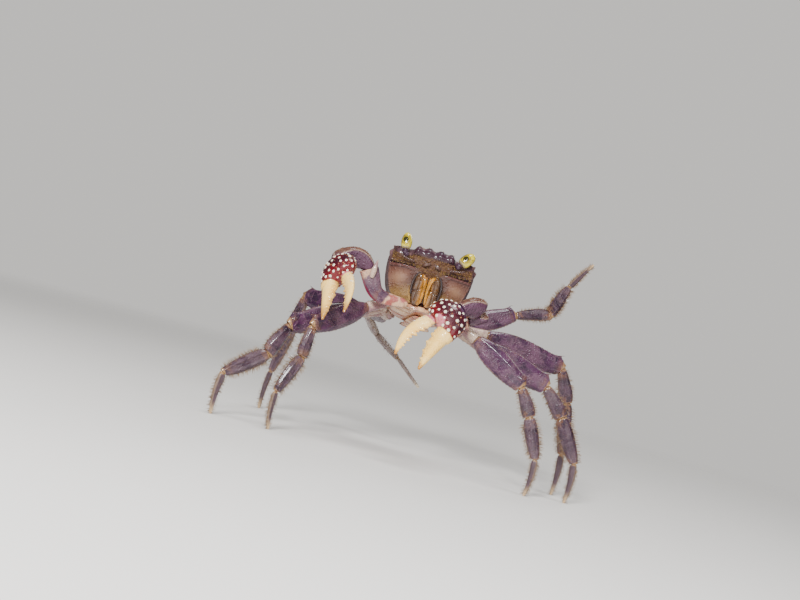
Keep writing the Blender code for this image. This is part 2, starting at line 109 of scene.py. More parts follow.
def bump(value: Array, middle: float, width: float) -> Array:
    """A bell of height 1 round a middle."""
    return np.exp(-((value - middle) / width) ** 2)


def blob(*terms: tuple[Array, float, float]) -> Array:
    """A bell of height 1 in several directions at once.

    Args:
        terms: the values, their middle and their width, for each direction.

    Returns:
        The bell's height at each place.
    """
    power = 0.0
    for value, middle, width in terms:
        power = power - ((value - middle) / width) ** 2
    return np.exp(power)


def segment_distance(points: Array, start: Sequence[float], end: Sequence[float]) -> Array:
    """Distance in plan from points to a straight line between two points.

    Args:
        points: the places.
        start: one end of the line.
        end: the other end.

    Returns:
        The distance of each place.
    """
    a, b = np.array(start, float), np.array(end, float)
    span = b - a
    share = np.clip(((points[:, :2] - a) @ span) / max(span @ span, 1e-9), 0.0, 1.0)
    return np.linalg.norm(points[:, :2] - (a + share[:, None] * span), axis=1)


def unit(vector: Array) -> Array:
    """The vector at length 1."""
    return vector / max(np.linalg.norm(vector), 1e-12)


@dataclass(frozen=True)
class Axes:
    """A piece's own axes: an origin and three unit directions as rows, in millimetres."""
    origin: Array
    turn: Array

    @classmethod
    def beside(cls, origin: Array, along: Array, across: Array) -> "Axes":
        """Axes with X along a piece and Y across it."""
        return cls(origin, np.stack([along, across, np.cross(along, across)]))

    @classmethod
    def upright(cls, origin: Array, along: Array, upward: Array) -> "Axes":
        """Axes with X along a piece and Z up from it."""
        return cls(origin, np.stack([along, np.cross(upward, along), upward]))

    def into(self, points: Array) -> Array:
        """World points in these axes."""
        return (points - self.origin) @ self.turn.T

    def out(self, local: Array) -> Array:
        """Points of these axes in the world."""
        return local @ self.turn + self.origin

    def towards(self, local: Array) -> Array:
        """A direction of these axes in the world."""
        return local @ self.turn


# ---------- the bench

class Bench:
    """Blender's own operators, used on one piece at a time."""

    def __init__(self, piece: Obj) -> None:
        """Take a mesh object to the bench."""
        self.piece = piece

    @property
    def mesh(self) -> bpy.types.Mesh:
        """The piece's mesh."""
        return self.piece.data

    def focus(self) -> None:
        """Select this piece alone."""
        bpy.ops.object.select_all(action="DESELECT")
        self.piece.select_set(True)
        bpy.context.view_layer.objects.active = self.piece

    def pick(self, kind: str, chosen: Iterable[int]) -> None:
        """Enter edit mode with only the chosen elements selected.

        Args:
            kind: VERT, EDGE or FACE.
            chosen: their indices.
        """
        self.focus()
        bpy.ops.object.mode_set(mode="EDIT")
        bpy.ops.mesh.select_mode(type=kind)
        bpy.ops.mesh.select_all(action="DESELECT")
        bpy.ops.object.mode_set(mode="OBJECT")
        items = {"VERT": self.mesh.vertices, "EDGE": self.mesh.edges, "FACE": self.mesh.polygons}[kind]
        for index in chosen:
            items[index].select = True
        bpy.ops.object.mode_set(mode="EDIT")

    @staticmethod
    def leave() -> None:
        """Go back to object mode."""
        bpy.ops.object.mode_set(mode="OBJECT")

    @staticmethod
    def renumber(rings: int) -> None:
        """Number what was just extruded by its distance from the origin, in the same order each time.

        Args:
            rings: how many rings of new faces lie round the selected one.
        """
        for _ in range(rings):
            bpy.ops.mesh.select_more()
        bpy.ops.mesh.sort_elements(type="CURSOR_DISTANCE", elements={"VERT", "EDGE", "FACE"})

    def modify(self, kind: str, **settings: float | int | str | bool) -> None:
        """Add one modifier and apply it.

        Args:
            kind: the modifier's type.
            settings: its values.
        """
        self.focus()
        made = self.piece.modifiers.new(kind.lower(), kind)
        for name, value in settings.items():
            setattr(made, name, value)
        bpy.ops.object.modifier_apply(modifier=made.name)

    def points(self) -> Array:
        """The vertices in millimetres."""
        flat = np.empty(len(self.mesh.vertices) * 3)
        self.mesh.vertices.foreach_get("co", flat)
        return flat.reshape(-1, 3) / MM

    def move(self, points: Array) -> None:
        """Put the vertices at these points, in millimetres."""
        self.mesh.vertices.foreach_set("co", (points * MM).ravel())
        self.mesh.update()

    def normals(self) -> Array:
        """The vertex normals."""
        flat = np.empty(len(self.mesh.vertices) * 3)
        self.mesh.vertices.foreach_get("normal", flat)
        return flat.reshape(-1, 3)

    def seen_in(self, axes: Axes) -> tuple[Array, Array]:
        """The vertices and their normals in a piece's own axes."""
        return axes.into(self.points()), self.normals() @ axes.turn.T

    def paint(self, **masks: Array) -> None:
        """Store named values on the vertices for the materials to read."""
        for name, values in masks.items():
            layer = self.mesh.attributes.new(name, "FLOAT", "POINT")
            layer.data.foreach_set("value", np.asarray(values, np.float32).ravel())

    def finish(self, angle: float = 60.0) -> None:
        """Shade the piece smooth, but for edges sharper than an angle in degrees."""
        self.focus()
        bpy.ops.object.shade_smooth_by_angle(angle=math.radians(angle))


@dataclass
class Plate:
    """A rounded copy of one CAD node that stands for it."""
    node: str
    caps: list[int] = field(default_factory=list)
    piece: Obj | None = None

    CAP_FACES = 5          # coplanar triangles that make a flat end
    FLAT_DOT = 0.99995     # least cosine between their normals
    MERGE = 0.001 * MM     # corners closer than this are one
    RINGS = 2              # of new faces round an end that was drawn in or out

    def copy(self) -> "Plate":
        """Copy the node's mesh, merge it, and give it back its flat ends and quads."""
        source = frame["nodes"][self.node]
        self.piece = bpy.data.objects.new("crab_" + self.node, source.data.copy())
        bpy.context.scene.collection.objects.link(self.piece)
        bench = Bench(self.piece)
        bench.mesh.materials.clear()
        bench.focus()
        bpy.ops.mesh.customdata_custom_splitnormals_clear()
        bpy.ops.object.mode_set(mode="EDIT")
        bpy.ops.mesh.select_all(action="SELECT")
        bpy.ops.mesh.remove_doubles(threshold=self.MERGE)
        bpy.ops.mesh.faces_shade_smooth()
        bpy.ops.mesh.mark_sharp(clear=True)
        bench.leave()
        bench.pick("FACE", self.flat_faces())
        bpy.ops.mesh.dissolve_faces()
        bench.leave()
        triangles = [face.index for face in bench.mesh.polygons if len(face.vertices) == 3]
        bench.pick("FACE", triangles)
        bpy.ops.mesh.tris_convert_to_quads(face_threshold=math.pi, shape_threshold=math.pi)
        bench.leave()
        self.find_caps()
        return self

    def find_caps(self) -> None:
        """Note which faces are flat ends."""
        self.caps = [face.index for face in self.piece.data.polygons if len(face.vertices) > self.CAP_FACES]

    def ends(self, near: Array) -> tuple[int, int]:
        """The two flat ends, the one nearer to a point first."""
        caps = sorted(self.caps, key=lambda cap: np.linalg.norm(self.centre(cap) - near))
        return caps[0], caps[-1]

    def flat_faces(self) -> list[int]:
        """The triangles of all flat ends: coplanar neighbours, enough of them together."""
        shape = bmesh.new()
        shape.from_mesh(self.piece.data)
        shape.faces.ensure_lookup_table()
        seen: set[int] = set()
        flat: list[int] = []
        for first in shape.faces:
            if first.index in seen:
                continue
            group, queue = [first.index], [first]
            seen.add(first.index)
            while queue:
                face = queue.pop()
                for edge in face.edges:
                    for other in edge.link_faces:
                        if other.index in seen or other.normal.dot(first.normal) < self.FLAT_DOT:
                            continue
                        seen.add(other.index)
                        group.append(other.index)
                        queue.append(other)
            if len(group) >= self.CAP_FACES:
                flat += group
        shape.free()
        return flat

    def centre(self, cap: int) -> Array:
        """The middle of a flat end, in millimetres."""
        mesh = self.piece.data
        corners = [mesh.vertices[index].co for index in mesh.polygons[cap].vertices]
        return np.array(sum(corners, Vector()) / len(corners)) / MM

    def crease_rims(self, value: float) -> None:
        """Hold the rims of the flat ends a little sharper than the rest."""
        mesh = self.piece.data
        rims = {key for cap in self.caps for key in mesh.polygons[cap].edge_keys}
        chosen = [edge.index for edge in mesh.edges if edge.key in rims]
        bench = Bench(self.piece)
        bench.pick("EDGE", chosen)
        bpy.ops.transform.edge_crease(value=value)
        bench.leave()

    def press(self, cap: int, rim: float, depth: float, taper: float) -> None:
        """Draw a flat end in to a socket, or out to a neck.

        Args:
            cap: the flat end's face.
            rim: width of the rim that stays, in millimetres.
            depth: how far the middle moves along the end's normal; inwards is negative.
            taper: share of its size that the middle keeps.
        """
        normal = self.piece.data.polygons[cap].normal.copy()
        bench = Bench(self.piece)
        bench.pick("FACE", [cap])
        bpy.ops.mesh.inset(thickness=rim * MM, depth=0.0)
        shift = normal * (depth * MM)
        bpy.ops.mesh.extrude_region_move(TRANSFORM_OT_translate={"value": shift})
        bpy.ops.transform.resize(value=(taper, taper, taper))
        bench.renumber(self.RINGS)
        bench.leave()

    def soften(self, levels: int) -> None:
        """Round the plate by subdivision."""
        Bench(self.piece).modify("SUBSURF", levels=levels, render_levels=levels)

    def dress(self, finish: bpy.types.Material, slot: str) -> None:
        """Give the plate its material and the body that carries it, and hide the node it stands for."""
        settle(self.piece, finish)
        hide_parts(self.node)


def middle_of(node: str) -> Array:
    """The middle of a CAD node, in millimetres."""
    low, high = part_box(node)
    return np.array((low + high) * 0.5) / MM


def settle(piece: Obj, finish: bpy.types.Material) -> None:
    """Finish a piece: its material and the body that carries it.

    Args:
        piece: the mesh object.
        finish: its material.
    """
    piece.data.materials.clear()
    piece.data.materials.append(finish)
    Bench(piece).finish()
    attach(piece, BODY)
    LOG.info("%s: %d faces", piece.name, len(piece.data.polygons))


# ---------- finishes

Colour = tuple[float, float, float]
Socket = bpy.types.NodeSocket


class Wiring:
    """Nodes of one material or group, added and joined in a line or two each."""

    def __init__(self, tree: bpy.types.NodeTree) -> None:
        """Start on a node tree."""
        self.tree = tree

    def add(self, kind: str, **settings: object) -> bpy.types.Node:
        """A new node with its settings."""
        node = self.tree.nodes.new(kind)
        for name, value in settings.items():
            setattr(node, name, value)
        return node

    def join(self, source: object, target: Socket) -> None:
        """Link a socket to an input, or set the input to a plain value."""
        if isinstance(source, bpy.types.NodeSocket):
            self.tree.links.new(source, target)
        elif isinstance(source, tuple) and len(source) == 3 and target.type == "RGBA":
            target.default_value = (*source, 1.0)
        else:
            target.default_value = source

    def sum(self, operation: str, first: object, second: object = 0.5) -> Socket:
        """One Math node."""
        node = self.add("ShaderNodeMath", operation=operation)
        self.join(first, node.inputs[0])
        self.join(second, node.inputs[1])
        return node.outputs[0]

    def blend(self, mask: object, low: object, high: object) -> Socket:
        """A colour between two, by a mask."""
        node = self.add("ShaderNodeMix", data_type="RGBA")
        self.join(mask, node.inputs[0])
        self.join(low, node.inputs[6])
        self.join(high, node.inputs[7])
        return node.outputs[2]

    def stain(self, tone: object, paint: object, mask: object, share: object) -> Socket:
        """A tone stained with another where a mask is, by a share of the mask."""
        return self.blend(self.sum("MULTIPLY", mask, share), tone, paint)

    def span(self, value: object, low: float, high: float, start: float = 0.0, end: float = 1.0) -> Socket:
        """A value mapped smoothly from one range to another.

        Args:
            value: a socket.
            low: where the rise starts.
            high: where it ends.
            start: what comes out at low.
            end: what comes out at high.

        Returns:
            The mapped value.
        """
        node = self.add("ShaderNodeMapRange", interpolation_type="SMOOTHSTEP")
        self.join(value, node.inputs[0])
        for socket, number in zip(list(node.inputs)[1:5], (low, high, start, end)):
            socket.default_value = number
        return node.outputs[0]

    def mask(self, name: str) -> Socket:
        """Values painted on the vertices."""
        return self.add("ShaderNodeAttribute", attribute_name=name).outputs["Fac"]

    def noise(self, scale: object, detail: float = 3.0, warp: float = 0.0, seed: float = 0.0) -> Socket:
        """Noise in object coordinates.

        Args:
            scale: features per metre, a number or a socket.
            detail: octaves.
            warp: distortion.
            seed: shifts the pattern.

        Returns:
            The noise, from 0 to 1.
        """
        place = self.add("ShaderNodeTexCoord").outputs["Object"]
        if seed:
            shift = self.add("ShaderNodeMapping")
            shift.inputs["Location"].default_value = (seed, seed * 0.7, -seed)
            self.join(place, shift.inputs["Vector"])
            place = shift.outputs["Vector"]
        node = self.add("ShaderNodeTexNoise")
        self.join(place, node.inputs["Vector"])
        for name, value in (("Scale", scale), ("Detail", detail), ("Distortion", warp)):
            self.join(value, node.inputs[name])
        return node.outputs["Fac"]


class Group:
    """A shader node group with named inputs and outputs, made once and placed many times."""

    made: dict[str, bpy.types.NodeTree] = {}

    def __init__(self, name: str, inputs: dict[str, float], outputs: Sequence[str],
                 fill: Callable[[Wiring, bpy.types.Node, bpy.types.Node], None]) -> None:
        """Describe the group.

        Args:
            name: the group's name.
            inputs: its number inputs and what they start at.
            outputs: its value outputs.
            fill: adds the nodes between the group's input and output nodes.
        """
        self.name, self.inputs, self.outputs, self.fill = name, inputs, outputs, fill

    def tree(self) -> bpy.types.NodeTree:
        """The node tree, built on first use."""
        if self.name in self.made:
            return self.made[self.name]
        tree = bpy.data.node_groups.new(self.name, "ShaderNodeTree")
        for name, start in self.inputs.items():
            socket = tree.interface.new_socket(name, in_out="INPUT", socket_type="NodeSocketFloat")
            socket.default_value = start
        for name in self.outputs:
            tree.interface.new_socket(name, in_out="OUTPUT", socket_type="NodeSocketFloat")
        wiring = Wiring(tree)
        self.fill(wiring, wiring.add("NodeGroupInput"), wiring.add("NodeGroupOutput"))
        self.made[self.name] = tree
        return tree

    def place(self, wiring: Wiring, **values: float) -> dict[str, Socket]:
        """Put the group in a material with its own values, and give back its outputs."""
        node = wiring.add("ShaderNodeGroup", node_tree=self.tree())
        for name, value in values.items():
            node.inputs[name].default_value = value
        return {socket.name: socket for socket in node.outputs}


def fill_marbling(wiring: Wiring, given: bpy.types.Node, out: bpy.types.Node) -> None:
    """Soft patches, and thin pale veins between them."""
    scale = given.outputs["Scale"]
    patches = wiring.noise(scale, 4.0, 0.6)
    wiring.join(wiring.span(patches, 0.36, 0.64), out.inputs["Patches"])
    drift = wiring.noise(wiring.sum("MULTIPLY", scale, 0.62), 2.0, 1.4)
    off = wiring.sum("ABSOLUTE", wiring.sum("SUBTRACT", drift, 0.5))
    wiring.join(wiring.span(off, 0.0, 0.035, 1.0, 0.0), out.inputs["Veins"])


def fill_granules(wiring: Wiring, given: bpy.types.Node, out: bpy.types.Node) -> None:
    """Low rounded granules of a shell, their crowns, and a fine pitting between them."""
    scale = given.outputs["Scale"]
    cells = wiring.add("ShaderNodeTexVoronoi", feature="SMOOTH_F1")
    wiring.join(wiring.add("ShaderNodeTexCoord").outputs["Object"], cells.inputs["Vector"])
    wiring.join(scale, cells.inputs["Scale"])
    cells.inputs["Smoothness"].default_value = 0.35
    dome = wiring.span(cells.outputs["Distance"], 0.1, 0.55, 1.0, 0.0)
    fine = wiring.noise(wiring.sum("MULTIPLY", scale, 2.6), 4.0)
    pits = wiring.sum("MULTIPLY", fine, given.outputs["Pitting"])
    wiring.join(wiring.sum("ADD", dome, pits), out.inputs["Height"])
    wiring.join(wiring.span(dome, 0.55, 0.95), out.inputs["Crowns"])


def fill_wetness(wiring: Wiring, given: bpy.types.Node, out: bpy.types.Node) -> None:
    """Roughness that drifts between a wet and a drier surface."""
    share = wiring.span(wiring.noise(420.0, 5.0), 0.38, 0.62)
    between = wiring.sum("SUBTRACT", given.outputs["Dry"], given.outputs["Wet"])
    spread = wiring.sum("MULTIPLY", share, between)
    wiring.join(wiring.sum("ADD", given.outputs["Wet"], spread), out.inputs["Roughness"])


MARBLING = Group("marbling", {"Scale": 300.0}, ("Patches", "Veins"), fill_marbling)
GRANULES = Group("granules", {"Scale": 1500.0, "Pitting": 0.4}, ("Height", "Crowns"), fill_granules)
WETNESS = Group("wetness", {"Wet": 0.2, "Dry": 0.45}, ("Roughness",), fill_wetness)


@dataclass(frozen=True)
class Finish:
    """What every finish of the crab shares: gloss, a wet film and a fine relief."""
    name: str
    wet: float = 0.36
    dry: float = 0.6
    film: float = 0.4            # weight of the clear film
    film_roughness: float = 0.08
    shine: float = 0.28          # specular level under the film
    grain: float = 1500.0        # granules per metre
    pitting: float = 0.4
    relief: float = 0.1          # height of the granules, in millimetres
    glow: float = 0.0            # subsurface weight
    dull: str = ""               # mask that takes the film away
    sleek: str = ""              # mask that takes the relief away

    def colour(self, wiring: Wiring, crowns: Socket) -> Socket:
        """The colour over the surface."""
        raise NotImplementedError

    def build(self) -> bpy.types.Material:
        """The material, made on first use."""
        found = bpy.data.materials.get("crab_" + self.name)
        if found:
            return found
        made = bpy.data.materials.new("crab_" + self.name)
        made.use_nodes = True
        wiring = Wiring(made.node_tree)
        shader = made.node_tree.nodes["Principled BSDF"]
        relief = GRANULES.place(wiring, Scale=self.grain, Pitting=self.pitting)
        wiring.join(self.colour(wiring, relief["Crowns"]), shader.inputs["Base Color"])
        wetness = WETNESS.place(wiring, Wet=self.wet, Dry=self.dry)
        wiring.join(wetness["Roughness"], shader.inputs["Roughness"])
        shader.inputs["Specular IOR Level"].default_value = self.shine
        shader.inputs["Coat Weight"].default_value = self.film
        if self.dull:
            left = wiring.sum("SUBTRACT", 1.0, wiring.mask(self.dull))
            wiring.join(wiring.sum("MULTIPLY", left, self.film), shader.inputs["Coat Weight"])
        shader.inputs["Coat Roughness"].default_value = self.film_roughness
        shader.inputs["Subsurface Weight"].default_value = self.glow
        shader.inputs["Subsurface Radius"].default_value = (1.0, 0.5, 0.3)
        shader.inputs["Subsurface Scale"].default_value = 0.8 * MM
        bumps = wiring.add("ShaderNodeBump")
        bumps.inputs["Distance"].default_value = self.relief * MM
        bumps.inputs["Strength"].default_value = 1.0
        height = relief["Height"]
        if self.sleek:
            height = wiring.sum("MULTIPLY", height, wiring.sum("SUBTRACT", 1.0, wiring.mask(self.sleek)))
        wiring.join(height, bumps.inputs["Height"])
        wiring.join(bumps.outputs["Normal"], shader.inputs["Normal"])
        return made


@dataclass(frozen=True)
class LegShell(Finish):
    """Mottled violet of the legs, paler veins, cream joints, warm margins, and a lower margin that on the
    merus is a pale painted highlight.
    """
    base: Colour = (0.064, 0.018, 0.055)
    dark: Colour = (0.02, 0.005, 0.022)
    pale: Colour = (0.165, 0.085, 0.118)
    margin: Colour = (0.2, 0.11, 0.095)
    # the lower margin's colour; this default, used on the merus, is a pale painted highlight
    low_edge: Colour = (0.42, 0.28, 0.22)
    low_start: float = -0.82     # where the lower margin's colour begins, as a share of the outline
    joint: Colour = (0.3, 0.17, 0.075)
    blot: Colour = (0.2, 0.1, 0.06)
    blot_scale: float = 760.0
    rust: Colour = (0.21, 0.095, 0.045)
    marbling: float = 300.0
    warmth: float = 0.4          # of the margins
    outline: float = 0.0         # how far the margins run on over the pale ends

    def colour(self, wiring: Wiring, crowns: Socket) -> Socket:
        """Mottle, then margins, then the ends."""
        along, rise = wiring.mask("along"), wiring.mask("rise")
        marble = MARBLING.place(wiring, Scale=self.marbling)
        tone = wiring.blend(marble["Patches"], self.dark, self.base)
        wide = wiring.span(wiring.noise(120.0, 2.0, 0.5, 0.3), 0.42, 0.62)
        for mask, share in ((wide, 0.42), (marble["Veins"], 0.4), (crowns, 0.18)):
            tone = wiring.stain(tone, self.pale, mask, share)
        rough_edge = wiring.sum("ADD", rise, wiring.sum("MULTIPLY", wiring.noise(900.0, 3.0), 0.3))
        above = wiring.span(rough_edge, 1.0, 1.22)
        # The lower margin; on the merus its pale colour is a painted highlight.
        below = wiring.span(rough_edge, self.low_start + 0.14, self.low_start - 0.12)
        tone = wiring.stain(tone, self.margin, above, self.warmth)
        tone = wiring.stain(tone, self.low_edge, below, 0.75)
        stains = wiring.span(wiring.noise(430.0, 3.0, 0.6, 0.2), 0.46, 0.6)
        tone = wiring.stain(tone, self.rust, stains, wiring.mask("warm"))
        ragged = wiring.sum("MULTIPLY", wiring.noise(1100.0, 3.0, 0.0, 0.9), 0.5)
        ends = wiring.span(wiring.sum("ADD", wiring.mask("collar"), ragged), 0.62, 1.05)
        blots = wiring.span(wiring.noise(self.blot_scale, 4.0, 0.8, 0.6), 0.46, 0.62)
        tone = wiring.blend(ends, tone, wiring.blend(blots, self.joint, self.blot))
        return wiring.stain(tone, self.margin, wiring.sum("MAXIMUM", above, below), self.outline)


@dataclass(frozen=True)
class TippedShell(Finish):
    """A finish that runs from one colour at the root to another at the tip."""
    base: Colour = (0.078, 0.044, 0.058)
    tip: Colour = (0.5, 0.35, 0.2)
    joint: Colour = (0.3, 0.17, 0.08)
    start: float = 0.66

    def colour(self, wiring: Wiring, crowns: Socket) -> Socket:
        """Base, paler ridge, collar and tip."""
        along, rise = wiring.mask("along"), wiring.mask("rise")
        marble = MARBLING.place(wiring, Scale=420.0)
        tone = wiring.stain(self.base, tuple(0.5 * value for value in self.base), marble["Patches"], 0.55)
        tone = wiring.stain(tone, self.tip, wiring.span(rise, 0.3, 0.9), 0.35)
        tone = wiring.blend(wiring.span(wiring.mask("collar"), 0.3, 0.9), tone, self.joint)
        return wiring.blend(wiring.span(along, self.start, 0.97), tone, self.tip)


@dataclass(frozen=True)
class PlainShell(Finish):
    """Two tones in soft patches, with a third in the grooves."""
    base: Colour = (0.6, 0.5, 0.45)
    patch: Colour = (0.5, 0.2, 0.2)
    groove: Colour = (0.2, 0.1, 0.08)
    ridge: Colour = (0.5, 0.4, 0.36)
    amount: float = 0.5
    scale: float = 160.0

    def colour(self, wiring: Wiring, crowns: Socket) -> Socket:
        """Patches over the base, and the grooves darker."""
        marble = MARBLING.place(wiring, Scale=self.scale)
        tone = wiring.stain(self.base, self.patch, marble["Patches"], self.amount)
        tone = wiring.stain(tone, self.base, crowns, 0.2)
        tone = wiring.blend(wiring.mask("groove"), tone, self.groove)
        return wiring.blend(wiring.mask("ridge"), tone, self.ridge)


@dataclass(frozen=True)
class PalmShell(Finish):
    """Maroon palm that runs through red to ivory fingers with amber tips."""
    deep: Colour = (0.034, 0.003, 0.01)
    red: Colour = (0.165, 0.004, 0.009)
    pink: Colour = (0.6, 0.17, 0.22)
    ivory: Colour = (1.0, 0.62, 0.155)
    amber: Colour = (0.42, 0.17, 0.02)
    cream: Colour = (1.0, 0.82, 0.42)
    violet: Colour = (0.08, 0.035, 0.08)

    def colour(self, wiring: Wiring, crowns: Socket) -> Socket:
        """Zones painted on the vertices, broken up by noise."""
        patches = MARBLING.place(wiring, Scale=230.0)["Patches"]
        tone = wiring.stain(self.deep, self.red, patches, 0.5)
        tone = wiring.blend(wiring.mask("red"), tone, self.red)
        tone = wiring.blend(wiring.mask("violet"), tone, self.violet)
        tone = wiring.stain(tone, self.pink, crowns, 0.07)
        # The pink patch beside the finger's root is partly its own colour and partly a painted highlight.
        ragged = wiring.sum("MULTIPLY", wiring.noise(520.0), 0.5)
        where = wiring.span(wiring.sum("ADD", wiring.mask("pink"), ragged), 0.6, 0.95)
        tone = wiring.blend(where, tone, self.pink)
        ragged = wiring.sum("MULTIPLY", wiring.noise(420.0, 4.0, 0.8, 0.4), 0.55)
        where = wiring.span(wiring.sum("ADD", wiring.mask("ivory"), ragged), 0.62, 0.92)
        tone = wiring.blend(where, tone, wiring.stain(self.ivory, self.cream, patches, 0.3))
        return wiring.blend(wiring.mask("amber"), tone, self.amber)


@dataclass(frozen=True)
class BodyShell(Finish):
    """The shell: dark mottled back, wet lobes, hairy brown face and smooth cheeks, with painted shade in the
    grooves and under the front's flap, and a pale patch on each cheek that is partly a painted highlight.
    """
    back: Colour = (0.062, 0.028, 0.044)
    freckle: Colour = (0.17, 0.095, 0.09)
    lobe: Colour = (0.03, 0.014, 0.027)
    flap: Colour = (0.03, 0.006, 0.016)
    fuzz: Colour = (0.105, 0.046, 0.022)
    cheek: Colour = (0.13, 0.052, 0.036)
    umber: Colour = (0.055, 0.019, 0.014)
    gold: Colour = (0.38, 0.22, 0.07)
    # near-black: painted shade in the grooves and under the front's flap, and the dark speckles of the hair
    # band
    ink: Colour = (0.012, 0.004, 0.01)
    rose: Colour = (0.13, 0.03, 0.04)
    # pale patch on the swell of each cheek: partly the shell's paler tone, partly a painted highlight
    pale_sheen: Colour = (0.38, 0.22, 0.13)
    maw: Colour = (0.11, 0.042, 0.01)

    def colour(self, wiring: Wiring, crowns: Socket) -> Socket:
        """Painted zones over a mottled back."""
        marble = MARBLING.place(wiring, Scale=210.0)
        tone = wiring.stain(self.back, self.freckle, marble["Patches"], 0.7)
        tone = wiring.stain(tone, self.freckle, crowns, 0.3)
        fine = wiring.span(wiring.noise(1500.0, 4.0, 0.3), 0.4, 0.62)
        # The pale_sheen zone is partly a painted highlight.
        zones = (("lobe", self.lobe, 0.85), ("cheek", self.cheek, 1.0), ("pale_sheen", self.pale_sheen, 0.55),
                 ("umber", self.umber, 0.75), ("gold", self.gold, 0.9), ("flap", self.flap, 0.95),
                 ("rose", self.rose, 0.5))
        for name, paint, weight in zones:
            tone = wiring.stain(tone, paint, wiring.mask(name), weight)
        # Dark speckles through the hair band, in the same near-black.
        speckled = wiring.blend(0.65, wiring.blend(fine, self.ink, self.fuzz), self.fuzz)
        tone = wiring.blend(wiring.mask("fuzz"), tone, speckled)
        # Painted shade: near-black in the grooves and under the front's flap.
        tone = wiring.blend(wiring.mask("ink"), tone, self.ink)
        return wiring.blend(wiring.mask("maw"), tone, self.maw)


@dataclass(frozen=True)
class EyeFinish(Finish):
    """Yellow-green facets round a dark false pupil, darker olive towards the sides as painted shade."""
    iris: Colour = (0.68, 0.56, 0.03)
    olive: Colour = (0.22, 0.14, 0.008)
    pupil: Colour = (0.012, 0.012, 0.006)
    facet: Colour = (0.8, 0.68, 0.2)
    socket: Colour = (0.26, 0.2, 0.13)

    def colour(self, wiring: Wiring, crowns: Socket) -> Socket:
        """Facets, ring and pupil."""
        drift = wiring.span(wiring.noise(700.0, 2.0), 0.35, 0.65)
        tone = wiring.stain(self.iris, self.olive, drift, 0.35)
        tone = wiring.stain(tone, self.facet, crowns, 0.25)
        tone = wiring.blend(wiring.mask("halo"), tone, self.olive)
        tone = wiring.blend(wiring.mask("rim"), tone, self.socket)
        return wiring.blend(wiring.mask("pupil"), tone, self.pupil)


@dataclass(frozen=True)
class HairFinish(Finish):
    """Bristles: darker at the root, with a shade of their own each."""
    root: Colour = (0.16, 0.075, 0.03)
    tip: Colour = (0.5, 0.3, 0.13)

    def colour(self, wiring: Wiring, crowns: Socket) -> Socket:
        """Root to tip, varied from hair to hair."""
        own = wiring.sum("MULTIPLY", wiring.mask("shade"), 0.6)
        share = wiring.sum("ADD", own, wiring.sum("MULTIPLY", wiring.mask("reach"), 0.5))
        return wiring.blend(share, self.root, self.tip)


# The merus: its pale lower margin is a painted highlight.
LEG = LegShell("leg", wet=0.22, relief=0.14)
CARPUS = LegShell("leg_end", base=(0.056, 0.027, 0.046), dark=(0.02, 0.008, 0.019),
                  pale=(0.15, 0.095, 0.112), margin=(0.17, 0.1, 0.075), low_edge=(0.13, 0.078, 0.068),
                  low_start=-0.74, warmth=0.45, wet=0.22, relief=0.14)
# Paler copies of the leg and toe finishes: painted light, so that the leg tucked in the shade under the body
# reads as lit.
PAINTED_LIGHT_LEG = LegShell("leg_painted_light", base=(0.3, 0.23, 0.22), dark=(0.18, 0.12, 0.125), pale=(0.5, 0.42, 0.38),
                 margin=(0.35, 0.24, 0.17), low_edge=(0.36, 0.28, 0.23), low_start=-0.74, warmth=0.5,
                 wet=0.22)
PAINTED_LIGHT_TOE = TippedShell("toe_painted_light", base=(0.34, 0.26, 0.24), tip=(0.62, 0.52, 0.38))
TOE = TippedShell("toe")
BONE = PlainShell("leg_base", base=(0.52, 0.38, 0.29), patch=(0.22, 0.095, 0.13),
                  groove=(0.16, 0.07, 0.05), amount=0.85, scale=300.0)
UNDER = PlainShell("belly", base=(0.7, 0.42, 0.22), patch=(0.3, 0.07, 0.05), groove=(0.12, 0.03, 0.02),
                   ridge=(0.085, 0.04, 0.055), amount=0.85, scale=260.0, wet=0.2, film=0.8)
ARM = LegShell("arm", base=(0.088, 0.034, 0.06), dark=(0.045, 0.015, 0.038), pale=(0.21, 0.135, 0.16),
               margin=(0.2, 0.014, 0.045), low_edge=(0.2, 0.014, 0.05), low_start=-0.6,
               joint=(0.62, 0.38, 0.24), blot=(0.34, 0.09, 0.075), blot_scale=400.0, warmth=1.0,
               outline=0.75, wet=0.22)
# The wrist's pale ridge colour is partly its own and partly a painted highlight.
WRIST = PlainShell("wrist", base=(0.092, 0.034, 0.026), patch=(0.19, 0.088, 0.048),
                   groove=(0.082, 0.03, 0.06), ridge=(0.42, 0.3, 0.24), scale=380.0, grain=1100.0, relief=0.2)
PALM = PalmShell("palm", wet=0.3, dry=0.5, film=0.6, film_roughness=0.06, grain=1300.0, relief=0.07,
                 pitting=0.3)
SHELL = BodyShell("shell", grain=1200.0, relief=0.16, wet=0.38, dry=0.62, shine=0.25, dull="matt",
                  sleek="sleek")
EYE = EyeFinish("eye", wet=0.08, dry=0.12, film=1.0, film_roughness=0.03, grain=5200.0, relief=0.012,
                pitting=0.0)
STALK = PlainShell("eyestalk", base=(0.028, 0.01, 0.026), patch=(0.06, 0.026, 0.045),
                   groove=(0.02, 0.01, 0.02))
WHIP = PlainShell("mouth_whips", base=(0.02, 0.012, 0.014), patch=(0.05, 0.026, 0.022), film=1.0,
                  film_roughness=0.05)
FEELER = PlainShell("feelers", base=(0.085, 0.042, 0.03), patch=(0.05, 0.022, 0.025),
                    groove=(0.03, 0.012, 0.012))
OUTER = PlainShell("mouth_plates", base=(0.105, 0.048, 0.016), patch=(0.05, 0.02, 0.01),
                   groove=(0.03, 0.013, 0.012), ridge=(0.4, 0.165, 0.018), wet=0.3, dry=0.5, film=1.0,
                   film_roughness=0.05, glow=0.1, scale=420.0, amount=0.8)
